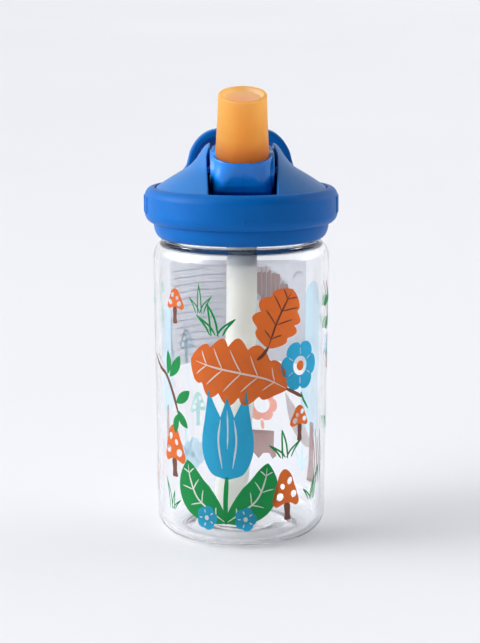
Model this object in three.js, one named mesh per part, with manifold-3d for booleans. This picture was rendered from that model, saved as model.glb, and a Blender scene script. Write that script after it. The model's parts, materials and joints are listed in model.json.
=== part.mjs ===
// A 0.4 litre child's drinking bottle: a clear moulded body, a screw cap with a carry loop,
// a spout that folds back into a well in the cap, a silicone bite valve and a straw.
// Millimetres. +Z is up, the origin is the centre of the base, and the drinker faces the -Y side.
import * as THREE from "three";
import { mergeVertices } from "three/addons/utils/BufferGeometryUtils.js";
import Module from "manifold-3d";

const wasm = await Module();
wasm.setup();

// ---- driving dimensions ----
const ROUND = 48; // segments round a large part
const SMALL_ROUND = 20; // segments round a small part
const GAP = 0.3; // clearance between neighbouring parts
const BEYOND = 60; // further from the axis than any surface
const ABOVE = 200; // higher than any surface
const TAU = 2 * Math.PI;

const body = {
  topRadius: 36.5, // just under the shoulder
  lowRadius: 35.2, // just above the base corner
  wall: 2.2,
  baseCorner: 8.5,
  shoulderCorner: 4.6,
  shoulderTop: 124,
  footInner: 23.5, // the flat ring that it stands on
  punt: 2.4,
  floor: 2.6,
};
const neck = { radius: 29.6, bore: 27, top: 135.7 };
const thread = {
  pitch: 4.8,
  height: 1.5,
  halfRoot: 0.95,
  halfCrest: 0.45,
  rampDegrees: 24,
  neckStart: 128.6, // height of the neck ridge's first end
  neckDegrees: 360,
  capDrop: 1.8, // the cap's ridge runs this far below the neck's
  capFrom: 8,
  capTo: 330,
};
const cap = {
  radius: 36.3,
  bore: 31.7,
  lip: 124.9,
  waist: 130.6, // below this the skirt curves in
  lipRadius: 32.7,
  deckLow: 137.5,
  deckTop: 140,
};
const band = {
  radius: 40,
  low: 131.3,
  high: 146.2,
  lowCorner: 3.6,
  highCorner: 3.8,
  seamRadius: 35.7, // where the cover's edge meets the band
  ribs: 5, // raised grip ribs on each side
  ribStep: 7, // degrees between ribs
  ribHeight: 7,
  ribWidth: 1.6,
  ribProud: 0.3,
};
const loop = {
  frontY: 20.6,
  depth: 8.4,
  lean: 6, // degrees that the loop leans back
  centreZ: 153.2,
  outerX: 22.8,
  outerZ: 15.6,
  innerX: 18.8,
  innerZ: 8.9,
  rearX: 15, // the opening narrows to this half-width at the back
  rearZ: 6.2,
  bevel: 0.9,
  footX: 32.5,
  platformFrontY: 19.9,
  platformLow: 143.2,
  keepRadius: 38.4, // the loop's feet stay inside this radius
};
const cover = {
  radius: 35.3,
  edge: 145.3,
  base: 140.3,
  peakY: -9,
  skin: 2.4,
  rearY: 19.6,
};
const well = {
  halfWidth: 14, // beside the front of the spout
  rearHalfWidth: 13.3, // behind the pivot
  rearFrom: -12,
  wall: 2.2,
  floor: 141.6,
  frontY: -33.4,
  sill: 144.4,
};
const pivot = { y: -14, z: 153.5, lean: 17, radius: 1.7, clearance: 0.3, reach: 15.4 };
const spout = {
  rimHalfWidth: 12.6,
  lowHalfWidth: 12,
  front: 12.3,
  rear: 11.3, // also the barrel's radius
  corner: 8.5, // of the block seen from above, in front
  rearCorner: 6,
  hubRadius: 8, // the discs that close the gaps beside the block
  hubHalfWidth: 12.9,
  rim: 7.7,
  foot: -4.9,
  bevelHigh: 3.2, // the slope along the lower edge of its face
  bevelDeep: 0.7,
  socketRadius: 11,
  socketFloor: 0.2,
  nippleRadius: 4.6,
  nippleTop: 10,
  bore: 2.6,
};
const valve = {
  baseRadius: 10.7,
  tipRadius: 9.7,
  top: 32.9,
  lipRound: 0.9,
  dishRadius: 8.1,
  dishDepth: 2.2,
  bore: 2.8,
  membrane: 1.7,
  cupRadius: 5.4, // the hollow under the membrane narrows to cupLow and then to the bore
  cupLow: 3.6,
  cupDepth: 2.6,
  throatDepth: 4,
  slit: 8.4,
  slitWidth: 0.4,
};
const port = { y: -11, bore: 2.8, sealRadius: 5.9, sealSeat: 139.1, sealTop: 141.9 };
const straw = {
  width: 12.4,
  wall: 1.2,
  top: 137.1,
  low: 7.2,
  lowWidth: 14.2,
  lowDepth: 10.6,
  leanX: -5.2,
  leanY: -2.2,
  spigotRadius: 4.6,
  spigotLow: 114,
  cut: 6, // the slanting cut across its lower end
  sections: 9,
  straightSections: 2, // those at the top that grip the spigot
};
const gasket = { inner: 27.1, outer: 31.2, low: 136, high: 137.2 };
const vent = { y: 14, hole: 1.6, stem: 1.2, flap: 4.6, flapThick: 0.7, bulb: 2.1 };

// ---- helpers ----
const deg = THREE.MathUtils.degToRad;
const v2 = (x, y) => new THREE.Vector2(x, y);

// A closed geometry as a solid that can be cut and joined.
function solid(geometry) {
  const bare = geometry.clone();
  bare.deleteAttribute("normal");
  bare.deleteAttribute("uv");
  const merged = mergeVertices(bare, 1e-4);
  const made = new wasm.Manifold(
    new wasm.Mesh({
      numProp: 3,
      vertProperties: merged.attributes.position.array,
      triVerts: new Uint32Array(merged.index.array),
    }),
  );
  if (made.volume() <= 0) throw new Error("a helper made a solid that is inside out");
  return made;
}

// A solid as a geometry that a mesh can hold.
function geometryOf(made) {
  const m = made.getMesh();
  return new THREE.BufferGeometry()
    .setAttribute("position", new THREE.BufferAttribute(m.vertProperties.slice(), 3))
    .setIndex(new THREE.BufferAttribute(m.triVerts.slice(), 1));
}

// Points [radius, height], anticlockwise round the material, turned about +Z.
function turned(points, segments = ROUND) {
  return new THREE.LatheGeometry(
    points.map(([r, z]) => v2(r, z)),
    segments,
  ).rotateX(Math.PI / 2);
}

const cylinder = (r, low, high, segments = SMALL_ROUND) =>
  turned([[0, low], [r, low], [r, high], [0, high]], segments);

// A box from its lowest to its highest corner.
function box(lo, hi) {
  const size = hi.map((h, i) => h - lo[i]);
  return new THREE.BoxGeometry(...size).translate(...lo.map((l, i) => l + size[i] / 2));
}

// Points along a round corner, from one angle to another, in degrees.
function arc(cx, cy, r, from, to, steps) {
  return Array.from({ length: steps + 1 }, (_, i) => {
    const a = deg(from + ((to - from) * i) / steps);
    return [cx + r * Math.cos(a), cy + r * Math.sin(a)];
  });
}

// Moves each vertex of a geometry by a function of [x, y, z].
function warped(geometry, move) {
  const p = geometry.attributes.position;
  for (let i = 0; i < p.count; i++) p.setXYZ(i, ...move(p.getX(i), p.getY(i), p.getZ(i)));
  return geometry;
}

// A closed tube of four-cornered sections, for a helical ridge.
function swept(sections) {
  const n = sections.length;
  const index = [];
  for (let i = 0; i < n - 1; i++)
    for (let k = 0; k < 4; k++) {
      const a = 4 * i + k;
      const b = 4 * i + ((k + 1) % 4);
      index.push(a, b, b + 4, a, b + 4, a + 4);
    }
  const e = 4 * (n - 1);
  index.push(0, 2, 1, 0, 3, 2, e, e + 1, e + 2, e, e + 2, e + 3);
  return new THREE.BufferGeometry()
    .setAttribute("position", new THREE.Float32BufferAttribute(sections.flat(2), 3))
    .setIndex(index);
}

// A right-hand thread ridge on a cylinder. out is 1 on a shaft and -1 in a bore.
function threadRidge(root, out, startZ, from, to) {
  const steps = Math.round((to - from) / 7.5);
  const sections = [];
  for (let i = 0; i <= steps; i++) {
    const a = from + ((to - from) * i) / steps;
    const ramp = Math.min(1, (a - from + 2) / thread.rampDegrees, (to - a + 2) / thread.rampDegrees);
    const z = startZ + (thread.pitch * a) / 360;
    const inside = root - out * 0.6;
    const crest = root + out * thread.height * ramp;
    const ring = [
      [inside, -thread.halfRoot],
      [crest, -thread.halfCrest],
      [crest, thread.halfCrest],
      [inside, thread.halfRoot],
    ].map(([r, dz]) => [r * Math.cos(deg(a)), r * Math.sin(deg(a)), z + dz]);
    sections.push(out > 0 ? ring.reverse() : ring);
  }
  return swept(sections);
}

const materials = {
  clear: { color: 0xeef2f6, roughness: 0.05, metalness: 0, transparent: true, opacity: 0.3 },
  band: { color: 0x0b57b8, roughness: 0.5, metalness: 0 },
  cover: { color: 0x3d78c4, roughness: 0.55, metalness: 0 },
  spout: { color: 0x0d55bd, roughness: 0.3, metalness: 0 },
  orange: { color: 0xf29a3f, roughness: 0.35, metalness: 0 },
  straw: { color: 0xe6e6df, roughness: 0.4, metalness: 0 },
  seal: { color: 0xdfe3e6, roughness: 0.5, metalness: 0 },
};
for (const [name, values] of Object.entries(materials))
  materials[name] = new THREE.MeshStandardMaterial(values);

function part(name, made, material) {
  const mesh = new THREE.Mesh(made.isBufferGeometry ? made : geometryOf(made), materials[material]);
  mesh.name = name;
  return mesh;
}

// ---- the clear body ----
function bottleBody() {
  const { topRadius, lowRadius, wall, baseCorner, shoulderCorner, shoulderTop, footInner } = body;
  const profile = [
    [0, body.punt],
    [footInner - 3, body.punt - 0.6],
    [footInner, 0],
    ...arc(lowRadius - baseCorner, baseCorner, baseCorner, -90, 0, 5),
    ...arc(topRadius - shoulderCorner, shoulderTop - shoulderCorner, shoulderCorner, 0, 90, 4),
    [neck.radius, shoulderTop],
    [neck.radius, neck.top],
    [neck.bore, neck.top],
    [neck.bore, shoulderTop - wall],
    ...arc(topRadius - shoulderCorner, shoulderTop - shoulderCorner, shoulderCorner - wall, 90, 0, 3),
    ...arc(lowRadius - baseCorner, baseCorner, baseCorner - wall, 0, -90, 4),
    [footInner - 2, body.punt + body.floor - 0.4],
    [0, body.punt + body.floor],
  ];
  const ridge = threadRidge(neck.radius, 1, thread.neckStart, 0, thread.neckDegrees);
  return solid(turned(profile)).add(solid(ridge));
}

// ---- the cap ----
function screwCap() {
  const skirt = arc(cap.lipRadius, cap.waist, 1, 0, -90, 4).map(([x, z]) => [
    cap.lipRadius + (x - cap.lipRadius) * (cap.radius - cap.lipRadius),
    cap.waist + (z - cap.waist) * (cap.waist - cap.lip),
  ]);
  const profile = [
    [0, cap.deckLow],
    [cap.bore, cap.deckLow],
    [cap.bore, cap.lip],
    ...skirt.reverse(),
    [cap.radius, cap.deckTop],
    [0, cap.deckTop],
  ];
  const ridgeStart = thread.neckStart - thread.capDrop;
  const ridge = threadRidge(cap.bore, -1, ridgeStart, thread.capFrom, thread.capTo);
  const at = (g) => solid(g.translate(0, port.y, 0));
  return solid(turned(profile))
    .add(solid(ridge))
    .add(at(cylinder(straw.spigotRadius, straw.spigotLow, cap.deckLow + 1)))
    .subtract(at(cylinder(port.bore, straw.spigotLow - 1, cap.deckTop + 1)))
    .subtract(at(cylinder(port.sealRadius + GAP, port.sealSeat, cap.deckTop + 1)))
    .subtract(solid(cylinder(vent.hole, cap.deckLow - 1, cap.deckTop + 1, 12).translate(0, vent.y, 0)));
}

// A squarish half ellipse above the loop's centre, from its right end over the top to its left.
function archPoints(halfX, halfZ, power, steps) {
  return Array.from({ length: steps + 1 }, (_, i) => {
    const a = (Math.PI * i) / steps;
    const c = Math.cos(a);
    const s = Math.sin(a);
    return [
      halfX * Math.sign(c) * Math.abs(c) ** (2 / power),
      loop.centreZ + halfZ * Math.abs(s) ** (2 / power),
    ];
  });
}

// The opening through the loop, which narrows like a funnel towards the back.
function loopOpening(low) {
  const outline = new THREE.Shape();
  outline.moveTo(loop.innerX, low);
  archPoints(loop.innerX, loop.innerZ, 2.8, 12).forEach((p) => outline.lineTo(...p));
  outline.lineTo(-loop.innerX, low);
  const margin = 1; // it starts this far in front of the loop and ends as far behind it
  const depth = loop.depth + 2 * margin;
  const opening = new THREE.ExtrudeGeometry(outline, { depth, bevelEnabled: false })
    .rotateX(Math.PI / 2)
    .translate(0, loop.frontY + loop.depth + margin, 0);
  return warped(opening, (x, y, z) => {
    const t = (y - loop.frontY) / loop.depth;
    const narrow = 1 - t * (1 - loop.rearX / loop.innerX);
    const lower = 1 - t * (1 - loop.rearZ / loop.innerZ);
    return [x * narrow, y, loop.centreZ + (z - loop.centreZ) * (z > loop.centreZ ? lower : 1)];
  });
}

// The finger loop: an arch with flared feet, leaning back a little.
function carryLoop() {
  const base = band.high - 2;
  const outline = new THREE.Shape();
  outline.moveTo(loop.footX, base);
  outline.lineTo(loop.footX, band.high);
  outline.quadraticCurveTo(loop.outerX, band.high + 0.6, loop.outerX, loop.centreZ);
  archPoints(loop.outerX, loop.outerZ, 2.25, 14).slice(1).forEach((p) => outline.lineTo(...p));
  outline.quadraticCurveTo(-loop.outerX, band.high + 0.6, -loop.footX, band.high);
  outline.lineTo(-loop.footX, base);
  const { bevel } = loop;
  const strap = new THREE.ExtrudeGeometry(outline, {
    depth: loop.depth - 2 * bevel,
    curveSegments: 4,
    bevelThickness: bevel,
    bevelSize: bevel,
    bevelOffset: -bevel,
    bevelSegments: 1,
  })
    .rotateX(Math.PI / 2)
    .translate(0, loop.frontY + loop.depth - bevel, 0);
  const back = Math.tan(deg(loop.lean));
  const leaning = (x, y, z) => [x, y + Math.max(0, z - band.high) * back, z];
  warped(strap, leaning);
  const opening = warped(loopOpening(base - 1), leaning);
  return solid(strap)
    .subtract(solid(opening))
    .intersect(solid(cylinder(loop.keepRadius, base - 3, ABOVE, ROUND)));
}

// The band round the cap, with the platform and the carry loop moulded on it.
function carryBand() {
  const { radius, low, high, lowCorner, highCorner, seamRadius } = band;
  const inside = cap.radius + GAP;
  const profile = [
    [inside, low],
    ...arc(radius - lowCorner, low + lowCorner, lowCorner, -75, 0, 3),
    ...arc(radius - highCorner, high - highCorner, highCorner, 0, 90, 4),
    [seamRadius, high - 0.5],
    [seamRadius, cap.deckTop + GAP],
    [inside, cap.deckTop + GAP],
    [inside, low],
  ];
  const ring = solid(turned(profile));
  const platform = solid(cylinder(radius - 3, loop.platformLow, high - 0.4, ROUND)).intersect(
    solid(box([-BEYOND, loop.platformFrontY, low], [BEYOND, BEYOND, ABOVE])),
  );
  let made = ring.add(platform).add(carryLoop());
  const middle = (low + high) / 2;
  for (const side of [0, 180])
    for (let i = 0; i < band.ribs; i++) {
      const angle = side + (i - (band.ribs - 1) / 2) * band.ribStep;
      const tall = band.ribHeight / 2;
      const wide = band.ribWidth / 2;
      const rib = box([radius - 1, -wide, middle - tall], [radius + band.ribProud, wide, middle + tall]);
      made = made.add(solid(rib.rotateZ(deg(angle))));
    }
  return made;
}

// ---- the cover ----
// Height of the cover's bell, from its peak at 0 to its edge at 1.
const bell = new THREE.SplineCurve(
  [
    [0, 164.6],
    [0.34, 164.3],
    [0.405, 163.3],
    [0.468, 160.2],
    [0.532, 157],
    [0.612, 154.2],
    [0.732, 151.6],
    [0.86, 148.8],
    [1, 145.3],
  ].map(([t, z]) => v2(t, z)),
);

function bellHeight(t) {
  const steps = 200;
  for (let i = 1; i <= steps; i++) {
    const b = bell.getPoint(i / steps);
    if (b.x < t - 1e-9) continue;
    const a = bell.getPoint((i - 1) / steps);
    return a.y + ((b.y - a.y) * (t - a.x)) / (b.x - a.x);
  }
  return cover.edge;
}

// A closed bell-shaped solid: its rim a circle, its peak ahead of the centre.
function bellSolid(radius, drop, base) {
  const around = ROUND;
  const rings = [0.34, 0.405, 0.468, 0.532, 0.612, 0.732, 0.86, 1];
  const positions = [[0, cover.peakY, bellHeight(0) - drop]];
  for (const t of rings)
    for (let i = 0; i < around; i++) {
      const a = (TAU * i) / around;
      const along = -cover.peakY * Math.sin(a); // from the peak towards the rim's centre
      const reach = along + Math.sqrt(radius ** 2 - cover.peakY ** 2 + along ** 2);
      positions.push([
        t * reach * Math.cos(a),
        cover.peakY + t * reach * Math.sin(a),
        bellHeight(t) - drop,
      ]);
    }
  const last = 1 + (rings.length - 1) * around;
  for (let i = 0; i < around; i++) positions.push([...positions[last + i].slice(0, 2), base]);
  positions.push([0, cover.peakY, base]);
  const index = [];
  const rows = rings.length + 1;
  for (let i = 0; i < around; i++) {
    const j = (i + 1) % around;
    index.push(0, 1 + i, 1 + j);
    for (let k = 0; k < rows - 1; k++) {
      const a = 1 + k * around;
      const b = a + around;
      index.push(a + i, b + i, b + j, a + i, b + j, a + j);
    }
    const low = 1 + (rows - 1) * around;
    index.push(positions.length - 1, low + j, low + i);
  }
  return solid(
    new THREE.BufferGeometry()
      .setAttribute("position", new THREE.Float32BufferAttribute(positions.flat(), 3))
      .setIndex(index),
  );
}

// The domed cover, with the well that the spout folds into.
function capCover() {
  const outside = bellSolid(cover.radius, 0, cover.base);
  const hollow = bellSolid(cover.radius - cover.skin, cover.skin, cover.base - 1);
  const wide = well.halfWidth + well.wall;
  const tub = solid(box([-wide, -BEYOND, cover.base], [wide, BEYOND, ABOVE])).intersect(outside);
  const { halfWidth, rearHalfWidth, rearFrom } = well;
  const cavity = solid(box([-halfWidth, well.frontY, well.floor], [halfWidth, rearFrom, ABOVE])).add(
    solid(box([-rearHalfWidth, rearFrom - 1, well.floor], [rearHalfWidth, BEYOND, ABOVE])),
  );
  const mouth = solid(box([-halfWidth, -BEYOND, well.sill], [halfWidth, rearFrom, ABOVE]));
  const sealHole = cylinder(port.sealRadius + GAP, cover.base - 1, well.floor + 1).translate(0, port.y, 0);
  const ventHole = cylinder(vent.bulb + 0.9, cover.base - 1, well.floor + 1, 12).translate(0, vent.y, 0);
  const holeRadius = pivot.radius + pivot.clearance;
  const trunnionHole = cylinder(holeRadius, -pivot.reach - GAP, pivot.reach + GAP)
    .rotateY(Math.PI / 2)
    .translate(0, pivot.y, pivot.z);
  return outside
    .subtract(hollow)
    .add(tub)
    .subtract(cavity)
    .subtract(mouth)
    .subtract(solid(sealHole))
    .subtract(solid(ventHole))
    .subtract(solid(trunnionHole))
    .subtract(solid(box([-BEYOND, cover.rearY, cover.base - 1], [BEYOND, BEYOND, ABOVE])));
}

// ---- the spout and the bite valve, drawn about the pivot with the spout's axis along +Z ----
// The outline of the block from above, with larger corners in front than behind.
function blockPlan(halfWidth, front, rear, frontCorner, rearCorner) {
  const s = new THREE.Shape();
  s.moveTo(-halfWidth + frontCorner, -front);
  s.lineTo(halfWidth - frontCorner, -front);
  s.absarc(halfWidth - frontCorner, frontCorner - front, frontCorner, -Math.PI / 2, 0);
  s.lineTo(halfWidth, rear - rearCorner);
  s.absarc(halfWidth - rearCorner, rear - rearCorner, rearCorner, 0, Math.PI / 2);
  s.lineTo(-halfWidth + rearCorner, rear);
  s.absarc(-halfWidth + rearCorner, rear - rearCorner, rearCorner, Math.PI / 2, Math.PI);
  s.lineTo(-halfWidth, frontCorner - front);
  s.absarc(-halfWidth + frontCorner, frontCorner - front, frontCorner, Math.PI, 1.5 * Math.PI);
  return s;
}

// A disc about the pivot's own axis, from side to side of the spout.
const across = (radius, halfWidth, segments = 36) =>
  cylinder(radius, -halfWidth, halfWidth, segments).rotateY(Math.PI / 2);

function flipSpout() {
  const half = (spout.rimHalfWidth + spout.lowHalfWidth) / 2;
  const side = new THREE.Shape();
  side.moveTo(-spout.front, spout.rim);
  side.lineTo(-spout.front, spout.foot + spout.bevelHigh);
  side.lineTo(-spout.front + spout.bevelDeep, spout.foot);
  side.lineTo(-Math.sqrt(spout.rear ** 2 - spout.foot ** 2), spout.foot);
  side.absarc(0, 0, spout.rear, Math.PI - Math.asin(spout.foot / spout.rear), TAU);
  side.lineTo(spout.rear, spout.rim);
  const slab = new THREE.ExtrudeGeometry(side, { depth: 2 * half, bevelEnabled: false, curveSegments: 12 })
    .rotateX(Math.PI / 2)
    .rotateZ(Math.PI / 2)
    .translate(-half, 0, 0);
  const reach = 20; // beyond the block, above and below the pivot
  const outline = blockPlan(half, spout.front, spout.rear + 0.01, spout.corner, spout.rearCorner);
  const plan = new THREE.ExtrudeGeometry(outline, {
    depth: 2 * reach,
    bevelEnabled: false,
    curveSegments: 6,
  }).translate(0, 0, -reach);
  const block = geometryOf(solid(slab).intersect(solid(plan)));
  const middle = (spout.rim + spout.foot) / 2;
  const spread = (spout.rimHalfWidth - spout.lowHalfWidth) / (spout.rim - spout.foot);
  warped(block, (x, y, z) => [x * (1 + (spread * (z - middle)) / half), y, z]);
  const hub = solid(across(spout.hubRadius, spout.hubHalfWidth));
  const behind = solid(box([-reach, 0, -reach], [reach, reach, spout.foot + spout.bevelHigh]));
  const rearHub = solid(across(spout.rear - 0.2, spout.hubHalfWidth)).intersect(behind);
  const socket = cylinder(spout.socketRadius, spout.socketFloor, spout.rim + 5, 36);
  const nipple = cylinder(spout.nippleRadius, spout.socketFloor - 1, spout.nippleTop);
  return solid(block)
    .add(solid(across(spout.rear, spout.lowHalfWidth)))
    .add(hub)
    .add(rearHub)
    .add(solid(across(pivot.radius, pivot.reach, SMALL_ROUND)))
    .subtract(solid(socket))
    .add(solid(nipple))
    .subtract(solid(cylinder(spout.bore, -reach, reach)));
}

function biteValve() {
  const { baseRadius, tipRadius, top, lipRound, dishRadius, dishDepth, bore } = valve;
  const { membrane, cupRadius, cupLow, slitWidth } = valve;
  const low = spout.socketFloor + 0.4;
  const overNipple = spout.nippleRadius + GAP;
  const dishLow = top - dishDepth;
  const profile = [
    [overNipple, low],
    [baseRadius, low],
    [baseRadius, spout.rim],
    ...arc(tipRadius - lipRound, top - lipRound, lipRound, 0, 120, 4),
    [dishRadius - 0.4, dishLow + 0.7],
    [dishRadius * 0.6, dishLow + 0.15],
    [0, dishLow],
    [0, dishLow - membrane],
    [cupRadius, dishLow - membrane],
    [cupLow, dishLow - membrane - valve.cupDepth],
    [bore, dishLow - membrane - valve.throatDepth],
    [bore, spout.nippleTop + 1.2],
    [overNipple, spout.nippleTop + GAP],
    [overNipple, low],
  ];
  const slit = box(
    [-valve.slit / 2, -slitWidth / 2, dishLow - membrane - 1],
    [valve.slit / 2, slitWidth / 2, top],
  );
  return solid(turned(profile, 32)).subtract(solid(slit));
}

// ---- seals and straw ----
function portSeal() {
  const { bore, sealRadius, sealSeat, sealTop } = port;
  const low = sealSeat + 0.1;
  const ring = [[bore, low], [sealRadius, low], [sealRadius, sealTop], [bore, sealTop], [bore, low]];
  return turned(ring, SMALL_ROUND).translate(0, port.y, 0);
}

function neckGasket() {
  const { inner, outer, low, high } = gasket;
  return turned([[inner, low], [outer, low], [outer, high], [inner, high], [inner, low]]);
}

// The vent's one-way flap: a thin disc under the deck on a stem with a bulb above.
function ventValve() {
  const flapTop = cap.deckLow - 0.1;
  return turned(
    [
      [0, flapTop - vent.flapThick],
      [vent.flap, flapTop - 0.25],
      [vent.flap, flapTop],
      [vent.stem, flapTop],
      [vent.stem, cap.deckTop + GAP + 0.8],
      [vent.bulb, cap.deckTop + GAP + 1],
      [vent.stem, cap.deckTop + GAP + 2.4],
      [0, cap.deckTop + GAP + 2.8],
    ],
    SMALL_ROUND,
  ).translate(0, vent.y, 0);
}

// The straw: round where it grips the spigot, flattened towards its lower end, and leaning.
function drinkingStraw() {
  const ring = new THREE.Shape().absarc(0, 0, straw.width / 2, 0, TAU);
  ring.holes.push(new THREE.Path().absarc(0, 0, straw.width / 2 - straw.wall, 0, TAU, true));
  const length = straw.top - straw.low;
  const tube = new THREE.ExtrudeGeometry(ring, {
    depth: straw.sections,
    steps: straw.sections,
    bevelEnabled: false,
    curveSegments: 10,
  });
  return warped(tube, (x, y, section) => {
    const down = straw.sections - section; // sections below the top
    const t = Math.max(0, down - straw.straightSections) / (straw.sections - straw.straightSections);
    const wide = 1 + t * (straw.lowWidth / straw.width - 1);
    const deep = 1 + t * (straw.lowDepth / straw.width - 1);
    const slant = section < 0.01 ? (straw.cut * (x + straw.width / 2)) / straw.width : 0;
    return [
      x * wide + straw.leanX * t,
      port.y + y * deep + straw.leanY * t,
      straw.top - (length * down) / straw.sections + slant,
    ];
  });
}

// ---- assembly ----
const bottle = new THREE.Group();
bottle.add(
  part("bottle_body", bottleBody(), "clear"),
  part("screw_cap", screwCap(), "band"),
  part("carry_band", carryBand(), "band"),
  part("cap_cover", capCover(), "cover"),
  part("port_seal", portSeal(), "seal"),
  part("neck_gasket", neckGasket(), "seal"),
  part("vent_valve", ventValve(), "seal"),
  part("drinking_straw", drinkingStraw(), "straw"),
);
const tilting = new THREE.Group();
tilting.position.set(0, pivot.y, pivot.z);
tilting.rotation.x = deg(pivot.lean);
tilting.add(part("flip_spout", flipSpout(), "spout"), part("bite_valve", biteValve(), "orange"));
bottle.add(tilting);

export default bottle;
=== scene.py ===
"""Looks for a child's drinking bottle: clear printed body, screw cap, fold-back spout and straw.

Shapes are drawn in millimetres in the frame's axes (+Z up, -Y to the front) and stored in metres.
"""

import json
import math

import bmesh
import bpy
import numpy as np
from mathutils import Matrix, Vector
from mathutils.geometry import delaunay_2d_cdt


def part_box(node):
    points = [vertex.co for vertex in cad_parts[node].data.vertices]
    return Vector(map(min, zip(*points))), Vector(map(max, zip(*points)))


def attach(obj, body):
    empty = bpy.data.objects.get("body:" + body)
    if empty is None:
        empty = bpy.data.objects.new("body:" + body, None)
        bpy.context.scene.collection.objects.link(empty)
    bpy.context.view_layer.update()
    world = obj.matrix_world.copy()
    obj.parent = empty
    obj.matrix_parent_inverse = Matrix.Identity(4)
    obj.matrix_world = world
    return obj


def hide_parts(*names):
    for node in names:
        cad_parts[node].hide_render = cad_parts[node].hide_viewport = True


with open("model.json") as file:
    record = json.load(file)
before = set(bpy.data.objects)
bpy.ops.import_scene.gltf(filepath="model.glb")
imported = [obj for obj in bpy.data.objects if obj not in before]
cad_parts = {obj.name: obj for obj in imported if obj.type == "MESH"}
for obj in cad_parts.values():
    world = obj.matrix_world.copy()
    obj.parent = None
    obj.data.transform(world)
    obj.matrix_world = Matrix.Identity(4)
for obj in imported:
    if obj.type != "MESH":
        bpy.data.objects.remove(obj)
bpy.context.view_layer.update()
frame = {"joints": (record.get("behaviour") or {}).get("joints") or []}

MM = 0.001
TAU = 2 * math.pi


# ---- sizes read from the frame, in millimetres ----
def extent(node):
    """The low and high corners of a CAD node's box."""
    low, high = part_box(node)
    return low / MM, high / MM


def joint(name):
    return next(row for row in frame["joints"] if row["name"] == name)


_, body_high = extent("bottle_body")
_, cap_high = extent("screw_cap")
band_low, band_high = extent("carry_band")
cover_low, cover_high = extent("cap_cover")
seal_low, seal_high = extent("port_seal")
gasket_low, gasket_high = extent("neck_gasket")
vent_low, vent_high = extent("vent_valve")
straw_low, straw_high = extent("drinking_straw")

BODY_R = body_high.x
NECK_TOP = body_high.z
CAP_R = cap_high.x
DECK_TOP = cap_high.z
BAND_R = band_high.y
BAND_LOW = band_low.z
SEAM_R = -cover_low.y
COVER_BASE = cover_low.z
COVER_REAR = cover_high.y
PIVOT = Vector(joint("spout_flip")["pos_m"]) / MM
PITCH = joint("lid_rise")["range_m"][1] / MM
PORT_Y = (seal_low.y + seal_high.y) / 2
VENT_Y = (vent_low.y + vent_high.y) / 2
STRAW_TOP = straw_high.z

# ---- the rest of the design, in millimetres ----
WALL = 2.2
CAP_LIP = 124.75  # the skirt's lower edge
BODY_FOOT_R = BODY_R - 1.3  # just above the base's corner
BASE_CORNER = 8.5
SHOULDER_TOP = 123.4
SHOULDER_LOW = 116.6  # where the wall starts to curve in
SHOULDER_CORNER = 4.7  # how far in that curve reaches
NECK_R = 29.6
NECK_BORE = 27.0
GASKET_BORE = 27.1
THREAD_START = 128.6
THREAD_HEIGHT = 1.5
CAP_BORE = 31.7
PORT_BORE = 2.8
BAND_TOP = 145.8
BAND_HIDDEN = 134.0  # a height on the cap's side that the band hides
SLOT_HALF = 13.6  # beside the foot of the spout, in front
SLOT_TAPER = 0.05  # how fast that widens upwards
SLOT_HALF_REAR = 12.95  # behind the pivot
WELL_FLOOR = 141.6
SILL = 144.4
SPOUT_LEAN = 17.0  # degrees that the open mouthpiece leans forward
VALVE_TOP = 32.9  # from the pivot, along the spout
PRINT_R = BODY_R - 0.3


# ---- mesh helpers ----
def make(name, points, faces, material):
    """A mesh object from points in millimetres."""
    mesh = bpy.data.meshes.new(name)
    mesh.from_pydata([tuple(float(c) * MM for c in p) for p in points], [], faces)
    mesh.polygons.foreach_set("use_smooth", [True] * len(mesh.polygons))
    obj = bpy.data.objects.new(name, mesh)
    bpy.context.scene.collection.objects.link(obj)
    mesh.materials.append(material)
    return obj


def even_normals(obj):
    """Keeps broad faces flat-looking beside their small rounded edges."""
    modifier = obj.modifiers.new("even normals", "WEIGHTED_NORMAL")
    modifier.keep_sharp = True
    return obj


def rounded(points, steps=5, closed=False):
    """A polyline of (x, y) or (x, y, radius) with each corner that has a radius made an arc."""
    out = []
    count = len(points)
    for i, p in enumerate(points):
        radius = p[2] if len(p) > 2 else 0
        inner = closed or 0 < i < count - 1
        if not radius or not inner:
            out.append((p[0], p[1]))
            continue
        here = Vector(p[:2])
        before = Vector(points[i - 1][:2]) - here
        after = Vector(points[(i + 1) % count][:2]) - here
        reach = min(before.length, after.length) * 0.49
        half = before.angle(after) / 2
        cut = min(radius / math.tan(half), reach)
        start = here + before.normalized() * cut
        end = here + after.normalized() * cut
        for k in range(steps + 1):
            t = k / steps
            a = start.lerp(here, t)
            b = here.lerp(end, t)
            out.append(tuple(a.lerp(b, t)))
    return out


def arc(cx, cy, rx, ry, start, end, steps):
    """Points on an ellipse between two angles in degrees."""
    angles = [math.radians(start + (end - start) * i / steps) for i in range(steps + 1)]
    return [(cx + rx * math.cos(a), cy + ry * math.sin(a)) for a in angles]


def through(points, step=1.0, closed=False):
    """A smooth line (Catmull-Rom) through points of any dimension, with points about step apart."""
    p = [np.array(q, float) for q in points]
    n = len(p)
    out = []
    spans = n if closed else n - 1
    for i in range(spans):
        if closed:
            a, b, c, d = (p[(i + k) % n] for k in (-1, 0, 1, 2))
        else:
            b, c = p[i], p[i + 1]
            a = p[i - 1] if i else 2 * b - c
            d = p[i + 2] if i + 2 < n else 2 * c - b
        pieces = max(2, round(float(np.linalg.norm(c - b)) / step))
        for k in range(pieces):
            t = k / pieces
            q = 2 * b + (c - a) * t + (2 * a - 5 * b + 4 * c - d) * t**2 + (3 * b - a - 3 * c + d) * t**3
            out.append(q / 2)
    if not closed:
        out.append(p[-1])
    return [tuple(q) for q in out]


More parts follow.
